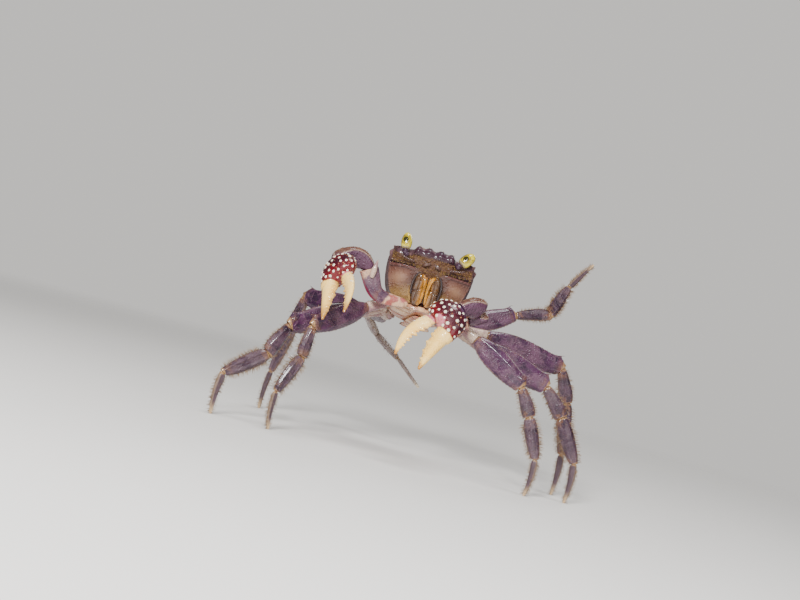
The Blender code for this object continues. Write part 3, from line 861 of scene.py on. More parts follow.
AMBER = PlainShell("mouthparts", base=(0.5, 0.22, 0.018), patch=(0.22, 0.08, 0.01), groove=(0.06, 0.02, 0.02),
                   wet=0.3, dry=0.5, film=1.0, film_roughness=0.04, glow=0.2, scale=520.0, amount=0.8)
STUD = PlainShell("stud", base=(0.86, 0.78, 0.62), patch=(0.8, 0.62, 0.5), groove=(0.3, 0.05, 0.06),
                  amount=0.3, relief=0.03, film=0.7, glow=0.1)
GRIT = PlainShell("grit", base=(0.42, 0.16, 0.06), patch=(0.25, 0.06, 0.04), groove=(0.1, 0.02, 0.02),
                  relief=0.03)
DUST = PlainShell("dust", base=(0.2, 0.1, 0.05), patch=(0.1, 0.045, 0.045), groove=(0.1, 0.02, 0.02),
                  relief=0.03)
HAIR = HairFinish("bristles", wet=0.3, dry=0.5, film=0.2, relief=0.0, pitting=0.0,
                  root=(0.11, 0.058, 0.034), tip=(0.36, 0.225, 0.12))
FACE_HAIR = HairFinish("face_hair", wet=0.35, dry=0.6, film=0.15, relief=0.0, pitting=0.0,
                       root=(0.12, 0.06, 0.02), tip=(0.42, 0.26, 0.09))


# ---------- small things in numbers

@dataclass
class Skin:
    """A finished plate that small things grow on: its mesh as arrays, in its own axes."""
    piece: Obj
    axes: Axes
    centres: Array = field(init=False)
    normals: Array = field(init=False)
    areas: Array = field(init=False)
    box: tuple[Array, Array] = field(init=False)

    TRIES = 12               # draws for each small thing that is wanted
    MOST_TRIES = 24000

    def __post_init__(self) -> None:
        """Read the faces."""
        mesh = self.piece.data
        count = len(mesh.polygons)
        flat = np.empty(count * 3)
        mesh.polygons.foreach_get("center", flat)
        self.centres = self.axes.into(flat.reshape(-1, 3) / MM)
        mesh.polygons.foreach_get("normal", flat)
        self.normals = flat.reshape(-1, 3) @ self.axes.turn.T
        self.areas = np.empty(count)
        mesh.polygons.foreach_get("area", self.areas)
        self.areas /= MM * MM
        self.box = (self.centres.min(0), self.centres.max(0))

    def roots(self, weight: Array, count: int, spacing: float, rng: np.random.Generator) -> Array:
        """Choose faces for small things to grow on.

        Args:
            weight: how much each face wants them, by area.
            count: the most to choose.
            spacing: least distance between two, in millimetres.
            rng: the random draws.

        Returns:
            Indices of the chosen faces.
        """
        odds = np.clip(weight, 0.0, None) * self.areas
        if odds.sum() <= 0:
            return np.zeros(0, int)
        tries = rng.choice(len(odds), size=min(count * self.TRIES, self.MOST_TRIES), p=odds / odds.sum())
        if spacing <= 0:
            return tries[:count]
        kept: list[int] = []
        places = np.empty((count, 3))
        for face in tries:
            here = self.centres[face]
            if kept and np.min(np.linalg.norm(places[:len(kept)] - here, axis=1)) < spacing:
                continue
            places[len(kept)] = here
            kept.append(int(face))
            if len(kept) == count:
                break
        return np.array(kept, int)

    def unwrap(self, faces: Array, island: int, islands: int) -> Array:
        """Places of faces on an unwrap of the skin's own shape, one strip for each island.

        Args:
            faces: their indices.
            island: the strip that they have.
            islands: number of strips.

        Returns:
            A place on the map for each face.
        """
        low, high = self.box
        middle = 0.5 * (low + high)
        local = self.centres[faces]
        around = np.arctan2(local[:, 2] - middle[2], local[:, 1] - middle[1]) / math.tau + 0.5
        along = (local[:, 0] - low[0]) / max(high[0] - low[0], 1e-6)
        return np.stack([(island + 0.02 + 0.96 * around) / islands, 0.01 + 0.98 * along], axis=1)


class Seed:
    """One small thing, modelled once at unit size and standing on Z, as arrays."""

    def __init__(self, piece: Obj) -> None:
        """Read a modelled piece and clear it away."""
        mesh = piece.data
        flat = np.empty(len(mesh.vertices) * 3)
        mesh.vertices.foreach_get("co", flat)
        self.points = flat.reshape(-1, 3)
        self.faces = [tuple(face.vertices) for face in mesh.polygons]
        bpy.data.objects.remove(piece, do_unlink=True)

    @classmethod
    def hair(cls) -> "Seed":
        """A three-sided bristle, one unit tall and one across, bent over a little to +X."""
        bpy.ops.object.select_all(action="DESELECT")
        bpy.ops.mesh.primitive_cone_add(vertices=3, radius1=0.5, radius2=0.36, depth=0.5,
                                        location=(0, 0, 0.25))
        piece = bpy.context.object
        bench = Bench(piece)
        top = max(piece.data.polygons, key=lambda face: face.center.z)
        bench.pick("FACE", [top.index])
        bpy.ops.mesh.extrude_region_move(TRANSFORM_OT_translate={"value": (0.12, 0, 0.5)})
        bpy.ops.transform.resize(value=(0.12, 0.12, 1.0))
        bench.leave()
        piece.data.transform(piece.matrix_world)
        return cls(piece)

    @classmethod
    def knob(cls) -> "Seed":
        """A low dome, one unit in radius, with its foot a little under the surface."""
        bpy.ops.object.select_all(action="DESELECT")
        bpy.ops.mesh.primitive_ico_sphere_add(subdivisions=2, radius=1.0)
        piece = bpy.context.object
        bench = Bench(piece)
        bench.pick("VERT", range(len(piece.data.vertices)))
        bpy.ops.mesh.bisect(plane_co=(0, 0, -0.12), plane_no=(0, 0, 1), clear_inner=True, use_fill=True)
        bench.leave()
        bench.pick("VERT", [v.index for v in piece.data.vertices if v.co.z > 0.5])
        bpy.ops.transform.translate(value=(0, 0, -0.06))
        bench.leave()
        return cls(piece)


@dataclass
class Growth:
    """Many small things joined into one piece."""
    name: str
    seed: Seed
    rng: np.random.Generator
    points: list[Array] = field(default_factory=list)
    faces: list[tuple[int, ...]] = field(default_factory=list)
    maps: list[Array] = field(default_factory=list)
    shades: list[Array] = field(default_factory=list)
    reaches: list[Array] = field(default_factory=list)
    count: int = 0

    PATCH = 0.003            # size of one small thing on the map
    TWIST = 0.15             # how far it turns off its lean
    SCATTER = 0.04           # how far its foot strays from the face's middle, in millimetres

    def add(self, skin: Skin, chosen: Array, height: Array, width: Array, lean: Array,
            island: int = 0, islands: int = 1, sink: float = 0.0) -> None:
        """Plant the seed on chosen faces.

        Args:
            skin: what it grows on.
            chosen: face indices.
            height: of each, in millimetres.
            width: of each, in millimetres.
            lean: a direction for each, in the skin's axes, that is added to the surface's normal.
            island: strip of the map that the skin has.
            islands: number of strips.
            sink: how deep the foot stands in the surface, in millimetres.
        """
        if not len(chosen):
            return
        unwrapped = skin.unwrap(chosen, island, islands)
        total = len(self.seed.points)
        for k, face in enumerate(chosen):
            up = unit(skin.normals[face] + lean[k])
            spin = self.rng.normal(size=3)
            leaning = lean[k] - up * (lean[k] @ up) + self.TWIST * spin
            side = unit(leaning if lean[k].any() else np.cross(up, spin))
            side = unit(side - up * (side @ up))
            third = np.cross(up, side)
            turn = np.stack([side * width[k], third * width[k], up * height[k]])
            stray = self.rng.normal(scale=self.SCATTER, size=3)
            foot = skin.centres[face] + stray - skin.normals[face] * sink
            self.points.append(skin.axes.out(self.seed.points @ turn + foot))
            start = self.count * total
            self.faces += [tuple(start + index for index in corners) for corners in self.seed.faces]
            spread = self.seed.points[:, :2] * 0.5 + 0.5
            spread[:, 1] = 0.5 * spread[:, 1] + 0.5 * self.seed.points[:, 2]
            self.maps.append(unwrapped[k] + (np.clip(spread, 0, 1) - 0.5) * self.PATCH)
            self.shades.append(np.full(total, self.rng.random()))
            self.reaches.append(np.clip(self.seed.points[:, 2], 0, 1))
            self.count += 1

    def dot(self, skin: Skin, chosen: Array, radius: Array, share: float,
            island: int = 0, islands: int = 1, sink: float = 0.01) -> None:
        """Plant upright knobs, each as high as a share of its radius."""
        self.add(skin, chosen, radius * share, radius, np.zeros((len(chosen), 3)), island, islands, sink)

    def piece(self, finish: bpy.types.Material, slot: str) -> Obj | None:
        """Join what was planted into one dressed piece.

        Args:
            finish: its material.
            slot: not used.

        Returns:
            The piece, or None where nothing was planted.
        """
        if not self.count:
            return None
        mesh = bpy.data.meshes.new(self.name)
        mesh.from_pydata((np.concatenate(self.points) * MM).tolist(), [], self.faces)
        mesh.update()
        made = bpy.data.objects.new(self.name, mesh)
        bpy.context.scene.collection.objects.link(made)
        corners = np.empty(len(mesh.loops), int)
        mesh.loops.foreach_get("vertex_index", corners)
        layer = mesh.uv_layers.new(name="OFBake")
        layer.data.foreach_set("uv", np.concatenate(self.maps)[corners].astype(np.float32).ravel())
        Bench(made).paint(shade=np.concatenate(self.shades), reach=np.concatenate(self.reaches),
                          groove=np.zeros(len(mesh.vertices)))
        settle(made, finish)
        return made


# ---------- walking legs

def share_of_edge(along: Array, height: Array, bins: int = 28) -> Array:
    """Height as a share of the outline's own height at that place, from -1 to 1.

    Args:
        along: places along the piece.
        height: over or under its axis.
        bins: stretches in which the outline is measured.

    Returns:
        The share at each place.
    """
    low, high = along.min(), along.max()
    slots = np.clip(((along - low) / max(high - low, 1e-9) * bins).astype(int), 0, bins - 1)
    top, bottom = np.full(bins, 1e-3), np.full(bins, -1e-3)
    np.maximum.at(top, slots, height)
    np.minimum.at(bottom, slots, height)
    spots = low + (np.arange(bins) + 0.5) / bins * (high - low)
    above = height / np.interp(along, spots, top)
    below = -height / np.interp(along, spots, bottom)
    return np.where(height > 0, above, below)


@dataclass(frozen=True)
class SegmentStyle:
    """How one kind of leg segment is finished, and how many bristles it carries."""
    finish: Finish
    slot: str
    collar: tuple[float, float]      # width of the pale joint band at each end
    ridge: float                     # height of the long ridges on each face
    bristles: int
    bristle: float                   # their length
    stubble: int                     # short hairs over the faces
    warmth: float = 0.6              # how warm the ends are


PAIRS = (2, 3, 4, 5)                 # the walking legs; the claws are the first pair
STYLES = {
    Segment.BASE: SegmentStyle(BONE, "leg_base", (0.3, 0.4), 0.05, 26, 0.7, 20),
    Segment.MERUS: SegmentStyle(LEG, "leg", (0.35, 0.9), 0.16, 70, 0.5, 40, 0.4),
    Segment.CARPUS: SegmentStyle(CARPUS, "leg", (0.6, 0.6), 0.2, 170, 1.15, 100),
    Segment.PROPODUS: SegmentStyle(CARPUS, "leg", (0.6, 0.7), 0.24, 360, 1.6, 170),
    Segment.DACTYLUS: SegmentStyle(TOE, "toe", (0.5, 0.0), 0.12, 250, 1.05, 70),
}


@dataclass
class Leg:
    """One walking leg: five plates, each with its neck in the last one's socket, and its bristles."""
    side: Side
    pair: int
    rng: np.random.Generator
    hair: Seed
    skins: dict[Segment, Skin] = field(default_factory=dict)

    LEVELS = 3
    SWELL = 1.06             # makes up for what rounding takes off
    NECK = 0.95
    SOCKET = 0.8
    HIP_NECK = 1.5
    STUBBLE = 0.38           # length of the short hairs
    # paler copies of the outer segments' finishes for the leg under the body: painted light
    PALE = {Segment.CARPUS: PAINTED_LIGHT_LEG, Segment.PROPODUS: PAINTED_LIGHT_LEG, Segment.DACTYLUS: PAINTED_LIGHT_TOE}

    def build(self) -> None:
        """Make the plates, then the bristles."""
        name = f"leg_{self.side.word}_{self.pair}"
        plates = {segment: Plate(f"{name}_{segment.value}").copy() for segment in Segment}
        near = middle_of("carapace")
        starts: dict[Segment, Array] = {}
        stops: dict[Segment, Array] = {}
        for segment, plate in plates.items():
            first, last = plate.ends(near)
            starts[segment], stops[segment] = plate.centre(first), plate.centre(last)
            near = stops[segment]
        reach = stops[Segment.MERUS] - starts[Segment.BASE]
        outward = unit(np.array((reach[0], reach[1], 0.0)))
        level = np.array((-outward[1], outward[0], 0.0))
        thigh = stops[Segment.MERUS] - starts[Segment.MERUS]
        shin = stops[Segment.PROPODUS] - starts[Segment.PROPODUS]
        across = unit(np.cross(thigh, shin))
        across = across * (np.sign(across @ level) or 1.0)
        for segment, plate in plates.items():
            start, end = starts[segment], stops[segment]
            along = unit(end - start)
            axes = Axes.beside(start, along, unit(across - along * (across @ along)))
            self.shape(segment, plate, axes, np.linalg.norm(end - start))
        self.grow()

    @property
    def tucked(self) -> bool:
        """Whether this is the leg folded under the body, whose finish is a paler copy as painted light."""
        return self.side is Side.RIGHT and self.pair == 5

    def shape(self, segment: Segment, plate: Plate, axes: Axes, length: float) -> None:
        """Turn a plate into a finished segment.

        Args:
            segment: which one it is.
            plate: the copied node.
            axes: X along the segment from its inner end, Z to its upper edge.
            length: between its flat ends, in millimetres.
        """
        style = STYLES[segment]
        self.articulate(segment, plate, axes, length)
        bench = Bench(plate.piece)
        local = axes.into(bench.points())
        at = local[:, 0]
        inside = smooth(0.0, 0.6, at) * smooth(length, length - 0.6, at)
        local[:, 1:] *= 1.0 + (self.SWELL - 1.0) * inside[:, None]
        along = np.clip(at / length, 0.0, 1.0)
        rise = share_of_edge(at, local[:, 2])
        lateral = share_of_edge(at, local[:, 1])
        ridges = bump(rise, 0.56, 0.16) + 0.8 * bump(rise, -0.5, 0.15) - 0.5 * bump(rise, 0.05, 0.3)
        swell = style.ridge * inside * ridges
        local[:, 1] += np.sign(local[:, 1]) * smooth(0.2, 0.7, np.abs(lateral)) * swell
        if segment is Segment.MERUS:
            knee = bump(along, 0.93, 0.035) * inside * smooth(0.2, 0.6, np.abs(rise))
            local[:, 1] *= 1.0 + 0.12 * knee
            local[:, 2] -= 0.07 * np.sin(along * 95.0) * smooth(-0.85, -1.0, rise) * inside
        if segment is Segment.DACTYLUS and self.on_floor(plate.node):
            local[:, 2] += 0.3 * np.sin(math.pi * along) * inside
        bench.move(axes.out(local))
        near, far = style.collar
        collar = np.maximum(smooth(near, 0.0, at), smooth(length - far, length, at) if far else 0.0)
        if segment is Segment.MERUS:
            collar = np.maximum(collar, smooth(1.06, 1.25, rise) * (along > 0.7))
        warm = np.maximum(smooth(3.4, 0.6, at), smooth(length - 3.0, length - 0.5, at))
        bench.paint(along=along, rise=rise, collar=collar, warm=warm * style.warmth)
        # The leg under the body takes the paler copies: painted light against the shade it stands in.
        finish = self.PALE.get(segment, style.finish) if self.tucked else style.finish
        plate.dress(finish.build(), style.slot)
        self.skins[segment] = Skin(plate.piece, axes)

    def articulate(self, segment: Segment, plate: Plate, axes: Axes, length: float) -> None:
        """Give a segment its neck, its socket and, on a merus, its spine, and round it.

        Args:
            segment: which one it is.
            plate: the copied node.
            axes: X along it from its inner end.
            length: between its flat ends, in millimetres.
        """
        plate.crease_rims(0.5)
        if segment is Segment.MERUS:
            self.spine(plate, axes, length)
            plate.find_caps()
        first, last = plate.ends(axes.origin)
        if segment is not Segment.DACTYLUS:
            plate.press(last, 0.34, -self.SOCKET, 0.86)
        plate.press(first, 0.3, self.HIP_NECK if segment is Segment.BASE else self.NECK, 0.8)
        plate.soften(self.LEVELS)

    @staticmethod
    def on_floor(node: str) -> bool:
        """Whether a toe stands on the floor."""
        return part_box(node)[0].z < MM

    @staticmethod
    def spine(plate: Plate, axes: Axes, length: float) -> None:
        """Draw the spine out of the upper edge, short of the outer end.

        Args:
            plate: the copied merus.
            axes: X along it, Z to its upper edge.
            length: between its flat ends, in millimetres.
        """
        target = axes.out(np.array((0.9 * length, 0.0, 5.0)))
        faces = [face for face in plate.piece.data.polygons if len(face.vertices) == 4]
        chosen = min(faces, key=lambda face: float(np.linalg.norm(np.array(face.center) / MM - target)))
        bench = Bench(plate.piece)
        bench.pick("FACE", [chosen.index])
        shift = Vector(axes.towards(np.array((1.5, 0.0, 0.55))) * MM)
        for part, share in ((0.5, 0.62), (1.0, 0.25)):
            bpy.ops.mesh.extrude_region_move(TRANSFORM_OT_translate={"value": shift * part})
            bpy.ops.transform.resize(value=(share, share, share))
        bench.renumber(Plate.RINGS)
        bench.leave()

    def grow(self) -> None:
        """Plant bristles along both margins and stubble on the faces."""
        coat = Growth(f"crab_bristles_{self.side.word}_{self.pair}", self.hair, self.rng)
        share = 0.35 if self.tucked else 1.0
        for island, (segment, skin) in enumerate(self.skins.items()):
            style = STYLES[segment]
            low, high = skin.box
            length = high[0] - low[0]
            along = (skin.centres[:, 0] - low[0]) / length
            rise = share_of_edge(skin.centres[:, 0], skin.centres[:, 2])
            outside = smooth(0.35, 0.9, np.abs(skin.normals[:, 1]) + np.abs(skin.normals[:, 2]))
            body = outside * smooth(0.08, 0.2, along) * smooth(1.0, 0.93, along)
            edges = smooth(0.72, 0.98, rise) + smooth(-0.72, -0.98, rise)
            crops = ((style.bristles, style.bristle, edges),
                     (style.stubble, self.STUBBLE, np.full_like(edges, 0.3)))
            for count, size, weight in crops:
                chosen = skin.roots(weight * body, round(count * share), 0.0, self.rng)
                number = len(chosen)
                lean = np.zeros((number, 3))
                lean[:, 0] = self.rng.uniform(0.05, 0.5, number)
                lean[:, 1] = self.rng.normal(scale=0.24, size=number)
                height = size * self.rng.uniform(0.4, 1.2, number)
                width = self.rng.uniform(0.09, 0.16, number)
                coat.add(skin, chosen, height, width, lean, island, len(self.skins), 0.05)
        coat.piece(HAIR.build(), "leg")


# ---------- claws

@dataclass(frozen=True)
class Tooth:
    """A tooth on a finger's cutting edge, in millimetres of a full-size claw."""
    at: float                # its place along the finger
    height: float
    half: float              # its half-width


FIXED_TEETH = (
    Tooth(10.9, 0.5, 0.6), Tooth(12.2, 1.05, 0.75), Tooth(13.6, 0.65, 0.55), Tooth(14.9, 1.3, 0.8),
    Tooth(16.4, 0.7, 0.55), Tooth(17.6, 1.05, 0.65), Tooth(18.9, 0.55, 0.45), Tooth(20.0, 0.8, 0.5),
    Tooth(21.2, 0.4, 0.4),
)
MOVING_TEETH = (
    Tooth(2.4, 0.55, 0.55), Tooth(3.8, 0.95, 0.65), Tooth(5.1, 0.6, 0.5), Tooth(6.5, 1.2, 0.75),
    Tooth(8.0, 0.7, 0.5), Tooth(9.3, 0.95, 0.6), Tooth(10.6, 0.55, 0.45), Tooth(11.7, 0.7, 0.45),
    Tooth(12.8, 0.35, 0.35),
)
CLAWS = {Side.RIGHT: (0.87, 1.0, 0.25), Side.LEFT: (0.96, 0.35, 1.0)}     # size, amber and bare of each


def teeth_profile(along: Array, teeth: Sequence[Tooth]) -> Array:
    """How far the cutting edge stands out at each place.

    Args:
        along: places along the finger.
        teeth: what stands on it.

    Returns:
        The height at each place.
    """
    out = np.zeros_like(along)
    for tooth in teeth:
        share = np.clip(1.0 - np.abs(along - tooth.at) / tooth.half, 0.0, 1.0)
        out = np.maximum(out, 1.2 * tooth.height * share ** 0.7)
    return out


@dataclass
class Claw:
    """One claw: arm, wrist, palm with its fixed finger, and the movable finger."""
    side: Side
    size: float              # of a full-size claw
    amber: float             # how far the amber comes up the fingers
    # the pink patch beside the finger is partly its own colour and partly a painted highlight
    bare: float              # how much of the pink bald patch shows beside the finger
    rng: np.random.Generator
    knob: Seed
    hair: Seed

    LEVELS = 3
    SPIKE = ((1.3, -1.6, -2.2), (1.5, -1.9, -0.6), (1.6, -2.0, 1.2), (1.9, -1.9, 3.4))   # from the elbow

    def build(self) -> None:
        """Make the four plates and what grows on them."""
        self.arm()
        wrist = self.wrist()
        palm = self.palm()
        finger = self.finger()
        self.stud(palm, finger)
        self.grit(wrist, palm)
        self.fringe(palm, finger)

    @staticmethod
    def outer_sign(axes: Axes) -> float:
        """The sign that the claw's outer face has along its own Y."""
        return -np.sign(axes.turn[1, 1]) or 1.0

    def link(self, name: str, before: str, socket: tuple[float, float, float],
             neck: tuple[float, float, float]) -> tuple[Plate, Axes, Array]:
        """Round the arm or the wrist.

        Args:
            name: the segment's name, without its side.
            before: the CAD node that it starts beside.
            socket: rim, depth and taper of its outer end.
            neck: rim, depth and taper of its inner end.

        Returns:
            The plate, its axes from its inner end, and the middle of its outer end.
        """
        plate = Plate(f"{name}_{self.side.word}").copy()
        first, last = plate.ends(middle_of(before))
        start, end = plate.centre(first), plate.centre(last)
        plate.crease_rims(0.5)
        plate.press(last, *socket)
        plate.press(first, *neck)
        plate.soften(self.LEVELS)
        along = unit(end - start)
        return plate, Axes.beside(start, along, unit(np.cross(UP, along))), end

    def arm(self) -> None:
        """The arm, from beside the mouth to the elbow."""
        before = "maxilliped_" + self.side.word
        plate, axes, elbow = self.link("arm", before, (0.4, -0.8, 0.85), (0.25, 0.9, 0.85))
        bench = Bench(plate.piece)
        local, normal = bench.seen_in(axes)
        share = np.clip(local[:, 0] / float(np.linalg.norm(elbow - axes.origin)), 0, 1)
        margins = 0.16 * bump(normal[:, 2], 0.55, 0.18) + 0.16 * bump(normal[:, 2], -0.55, 0.18)
        local += normal * margins[:, None]
        bench.move(axes.out(local))
        collar = np.maximum(0.85 * smooth(0.46, 0.3, share), 0.7 * smooth(0.84, 1.0, share))
        bench.paint(along=share, rise=normal[:, 2] * 1.05, collar=collar, warm=0.5 * smooth(0.7, 0.45, share))
        plate.dress(ARM.build(), "leg")
        self.spike(elbow)

    def spike(self, elbow: Array) -> None:
        """The pale spike that stands up from the arm's inner corner, beside the elbow."""
        knots = [(-self.side.value * x, y, z) for x, y, z in self.SPIKE]
        stem = Stem(knots, (0.7, 1.0, 0.75, 0.12), 10)
        level = Axes(elbow, np.eye(3))
        settle(stem.piece(f"crab_arm_spike_{self.side.word}", level), BONE.build())

    def wrist(self) -> Skin:
        """The domed wrist, with a pale line along its ridge that is partly its own colour and partly a
        painted highlight.
        """
        plate, axes, end = self.link("wrist", "arm_" + self.side.word, (0.5, -0.7, 0.85), (0.3, 0.9, 0.8))
        bench = Bench(plate.piece)
        points, normal = bench.points(), bench.normals()
        bench.move(points + normal * 0.12)
        rim = np.minimum(np.linalg.norm(points - axes.origin, axis=1), np.linalg.norm(points - end, axis=1))
        face = smooth(0.42, 0.18, normal[:, 2]) * smooth(0.1, -0.2, normal[:, 1])
        # ridge: a pale line where the top meets the face, partly its own colour and partly a painted
        # highlight.
        bench.paint(groove=np.maximum(face, 0.5 * smooth(2.6, 1.7, rim)),
                    ridge=0.8 * bump(normal[:, 2], 0.4, 0.07) * smooth(0.0, -0.3, normal[:, 1]))
        plate.dress(WRIST.build(), "shell")
        return Skin(plate.piece, axes)

    def palm(self) -> Skin:
        """The swollen palm, drawn out to the fixed finger."""
        plate = Plate(f"palm_{self.side.word}").copy()
        first, last = plate.ends(middle_of("wrist_" + self.side.word))
        start, tip = plate.centre(first), plate.centre(last)
        along = -unit(np.array(plate.piece.data.polygons[first].normal))
        low = (tip - start) - along * ((tip - start) @ along)
        axes = Axes.upright(start, along, -unit(low))
        plate.crease_rims(0.4)
        plate.press(first, 0.4, 1.0, 0.75)
        plate.soften(self.LEVELS)
        bench = Bench(plate.piece)
        local, normal = bench.seen_in(axes)
        local /= self.size
        finger = smooth(9.8, 11.0, local[:, 0])
        rise = share_of_edge(local[:, 0], local[:, 2])
        edge = smooth(0.35, 0.95, normal[:, 2]) * finger * smooth(1.6, 0.5, np.abs(local[:, 1]))
        profile = teeth_profile(local[:, 0], FIXED_TEETH)
        local[:, 2] += profile * edge
        local[:, 0] += 0.25 * profile * edge
        palm_part = smooth(0.5, 2.5, local[:, 0]) * (1 - finger)
        local[:, 1] *= 1.0 + 0.07 * palm_part
        local[:, 2] *= 1.0 + 0.05 * palm_part
        local[:, 1] *= 1.0 - 0.14 * finger * smooth(0.2, 1.0, rise)
        bench.move(axes.out(local * self.size))
        x, _, z = local.T
        facing = smooth(-0.1, 0.4, normal[:, 1] * self.outer_sign(axes))
        # A pink patch beside the finger, bare of tubercles: partly its own colour, partly a painted
        # highlight.
        pink = facing * blob((x, 8.9, 1.7), (z, -0.6, 2.2)) * 1.25 * self.bare
        teeth = edge * smooth(0.1, 0.5, teeth_profile(x, FIXED_TEETH)) * 0.6 * self.amber
        tip_amber = smooth(22.2 - 6.0 * self.amber, 22.4, x) * 0.9
        bench.paint(ivory=smooth(9.0, 11.6, x - 0.22 * z), pink=pink, red=smooth(5.0, 9.6, x) * 0.85,
                    violet=smooth(2.2, 0.3, x), amber=np.maximum(tip_amber, teeth))
        plate.dress(PALM.build(), "palm")
        return Skin(plate.piece, axes)

    def finger(self) -> Skin:
        """The movable finger, with its teeth under it."""
        plate = Plate(f"finger_{self.side.word}").copy()
        first, last = plate.ends(middle_of("wrist_" + self.side.word))
        start, tip = plate.centre(first), plate.centre(last)
        along = unit(tip - start)
        bulge = Bench(plate.piece).points().mean(0) - 0.5 * (start + tip)
        axes = Axes.upright(start, along, unit(bulge - along * (bulge @ along)))
        plate.crease_rims(0.3)
        plate.press(first, 0.35, 1.9, 0.8)
        plate.soften(self.LEVELS)
        bench = Bench(plate.piece)
        local, normal = bench.seen_in(axes)
        local /= self.size
        length = float(np.linalg.norm(tip - start)) / self.size
        x, y, z = local.T
        edge = smooth(0.35, 0.95, -normal[:, 2]) * smooth(1.6, 0.5, np.abs(y)) * smooth(0.4, 1.2, x)
        profile = teeth_profile(x, MOVING_TEETH)
        z -= profile * edge
        y *= 1.0 - 0.12 * smooth(0.0, 1.0, -normal[:, 2])
        bench.move(axes.out(local * self.size))
        teeth = edge * smooth(0.1, 0.5, profile) * 0.6 * self.amber
        tip_amber = 0.9 * smooth(length - 5.5 * self.amber, length - 0.4, x)
        bench.paint(ivory=smooth(-2.4, 1.8, x), pink=0.7 * smooth(3.2, 0.5, x), red=smooth(0.6, -0.8, x),
                    violet=np.zeros(len(x)), amber=np.maximum(tip_amber, teeth))
        plate.dress(PALM.build(), "finger")
        return Skin(plate.piece, axes)

    def stud(self, palm: Skin, finger: Skin) -> None:
        """Round cream tubercles over the palm and the root of the movable finger."""
        studs = Growth(f"crab_tubercles_{self.side.word}", self.knob, self.rng)
        x, _, z = (palm.centres / self.size).T
        facing = palm.normals[:, 1] * self.outer_sign(palm.axes)
        clear = (x > 0.7) & (x < 9.9 + 0.25 * z)
        bald = blob((x, 9.2, 1.7), (z, -0.9, 2.2)) * (facing > -0.2) * self.bare > 0.5
        chosen = palm.roots(clear * (~bald) * smooth(-0.25, 0.3, facing), 96, 1.68 * self.size, self.rng)
        fade = 0.72 + 0.28 * smooth(-0.2, 0.5, facing[chosen])
        radius = self.size * self.rng.uniform(0.4, 0.58, len(chosen)) * fade
        studs.dot(palm, chosen, radius, 0.62, 0, 2, 0.02)
        x = finger.centres[:, 0] / self.size
        weight = ((finger.normals[:, 2] > 0.25) & (x > 0.6) & (x < 4.5)).astype(float)
        chosen = finger.roots(weight, 9, 1.3, self.rng)
        radius = self.size * self.rng.uniform(0.24, 0.36, len(chosen))
        studs.dot(finger, chosen, radius, 0.7, 1, 2, 0.02)
        studs.piece(STUD.build(), "finger")

    def grit(self, wrist: Skin, palm: Skin) -> None:
        """Small brown granules over the wrist and on the palm's inner side."""
        dust = Growth(f"crab_wrist_granules_{self.side.word}", self.knob, self.rng)
        grains = Growth(f"crab_granules_{self.side.word}", self.knob, self.rng)
        facing = wrist.normals @ wrist.axes.turn
        low, high = wrist.box
        share = (wrist.centres[:, 0] - low[0]) / (high[0] - low[0])
        weight = np.maximum(smooth(0.42, 0.62, facing[:, 2]), smooth(0.0, 0.3, facing[:, 1]))
        weight = weight * smooth(0.12, 0.25, share) * smooth(0.95, 0.85, share)
        chosen = wrist.roots(weight, 260, 0.5, self.rng)
        dust.dot(wrist, chosen, self.rng.uniform(0.12, 0.25, len(chosen)), 0.8)
        dust.piece(DUST.build(), "shell")
        x = palm.centres[:, 0] / self.size
        behind = smooth(0.1, -0.25, palm.normals[:, 1] * self.outer_sign(palm.axes))
        inner = np.maximum(behind, 0.6 * smooth(0.55, 0.85, palm.normals[:, 2])) + 0.04
        chosen = palm.roots(inner * ((x > 0.8) & (x < 9.2)), 210, 0.58, self.rng)
        grains.dot(palm, chosen, self.rng.uniform(0.14, 0.27, len(chosen)) * self.size, 0.8)
        grains.piece(GRIT.build(), "palm")

    def fringe(self, palm: Skin, finger: Skin) -> None:
        """A few short hairs where the fingers leave the palm."""
        hairs = Growth(f"crab_claw_hairs_{self.side.word}", self.hair, self.rng)
        for island, skin in enumerate((palm, finger)):
            place = skin.centres / self.size
            near = bump(place[:, 0], 9.5 if skin is palm else 0.6, 0.7) * (np.abs(place[:, 2]) < 3.4)
            chosen = skin.roots(near, 26, 0.0, self.rng)
            lean = np.zeros((len(chosen), 3))
            lean[:, 0] = 0.8
            height = self.rng.uniform(0.35, 0.7, len(chosen))
            hairs.add(skin, chosen, height, np.full(len(chosen), 0.11), lean, island, 2, 0.05)
        hairs.piece(HAIR.build(), "palm")


# ---------- body

@dataclass(frozen=True)
class Gaze:
    """How one eye looks."""
    width: float                 # of the eye, as a share of its solid's
    rise: float                  # of its false pupil along the eyestalk, from the eye's middle
    shift: float                 # of its false pupil across the eyestalk
    course: tuple[float, float]  # the way its pale streak runs


@dataclass(frozen=True)
class Limb:
    """A small limb of the face, as it is on the left side, in the body's axes."""
    name: str
    finish: Finish
    knots: tuple[tuple[float, float, float], ...]
    radii: tuple[float, ...]


@dataclass
class Form:
    """The shell's vertices while they are shaped, in the body's axes."""
    local: Array
    normal: Array                # before shaping
    wide: Array                  # distance from the middle, before shaping
    parts: dict[str, Array] = field(default_factory=dict)    # where its grooves, lobes and rims are


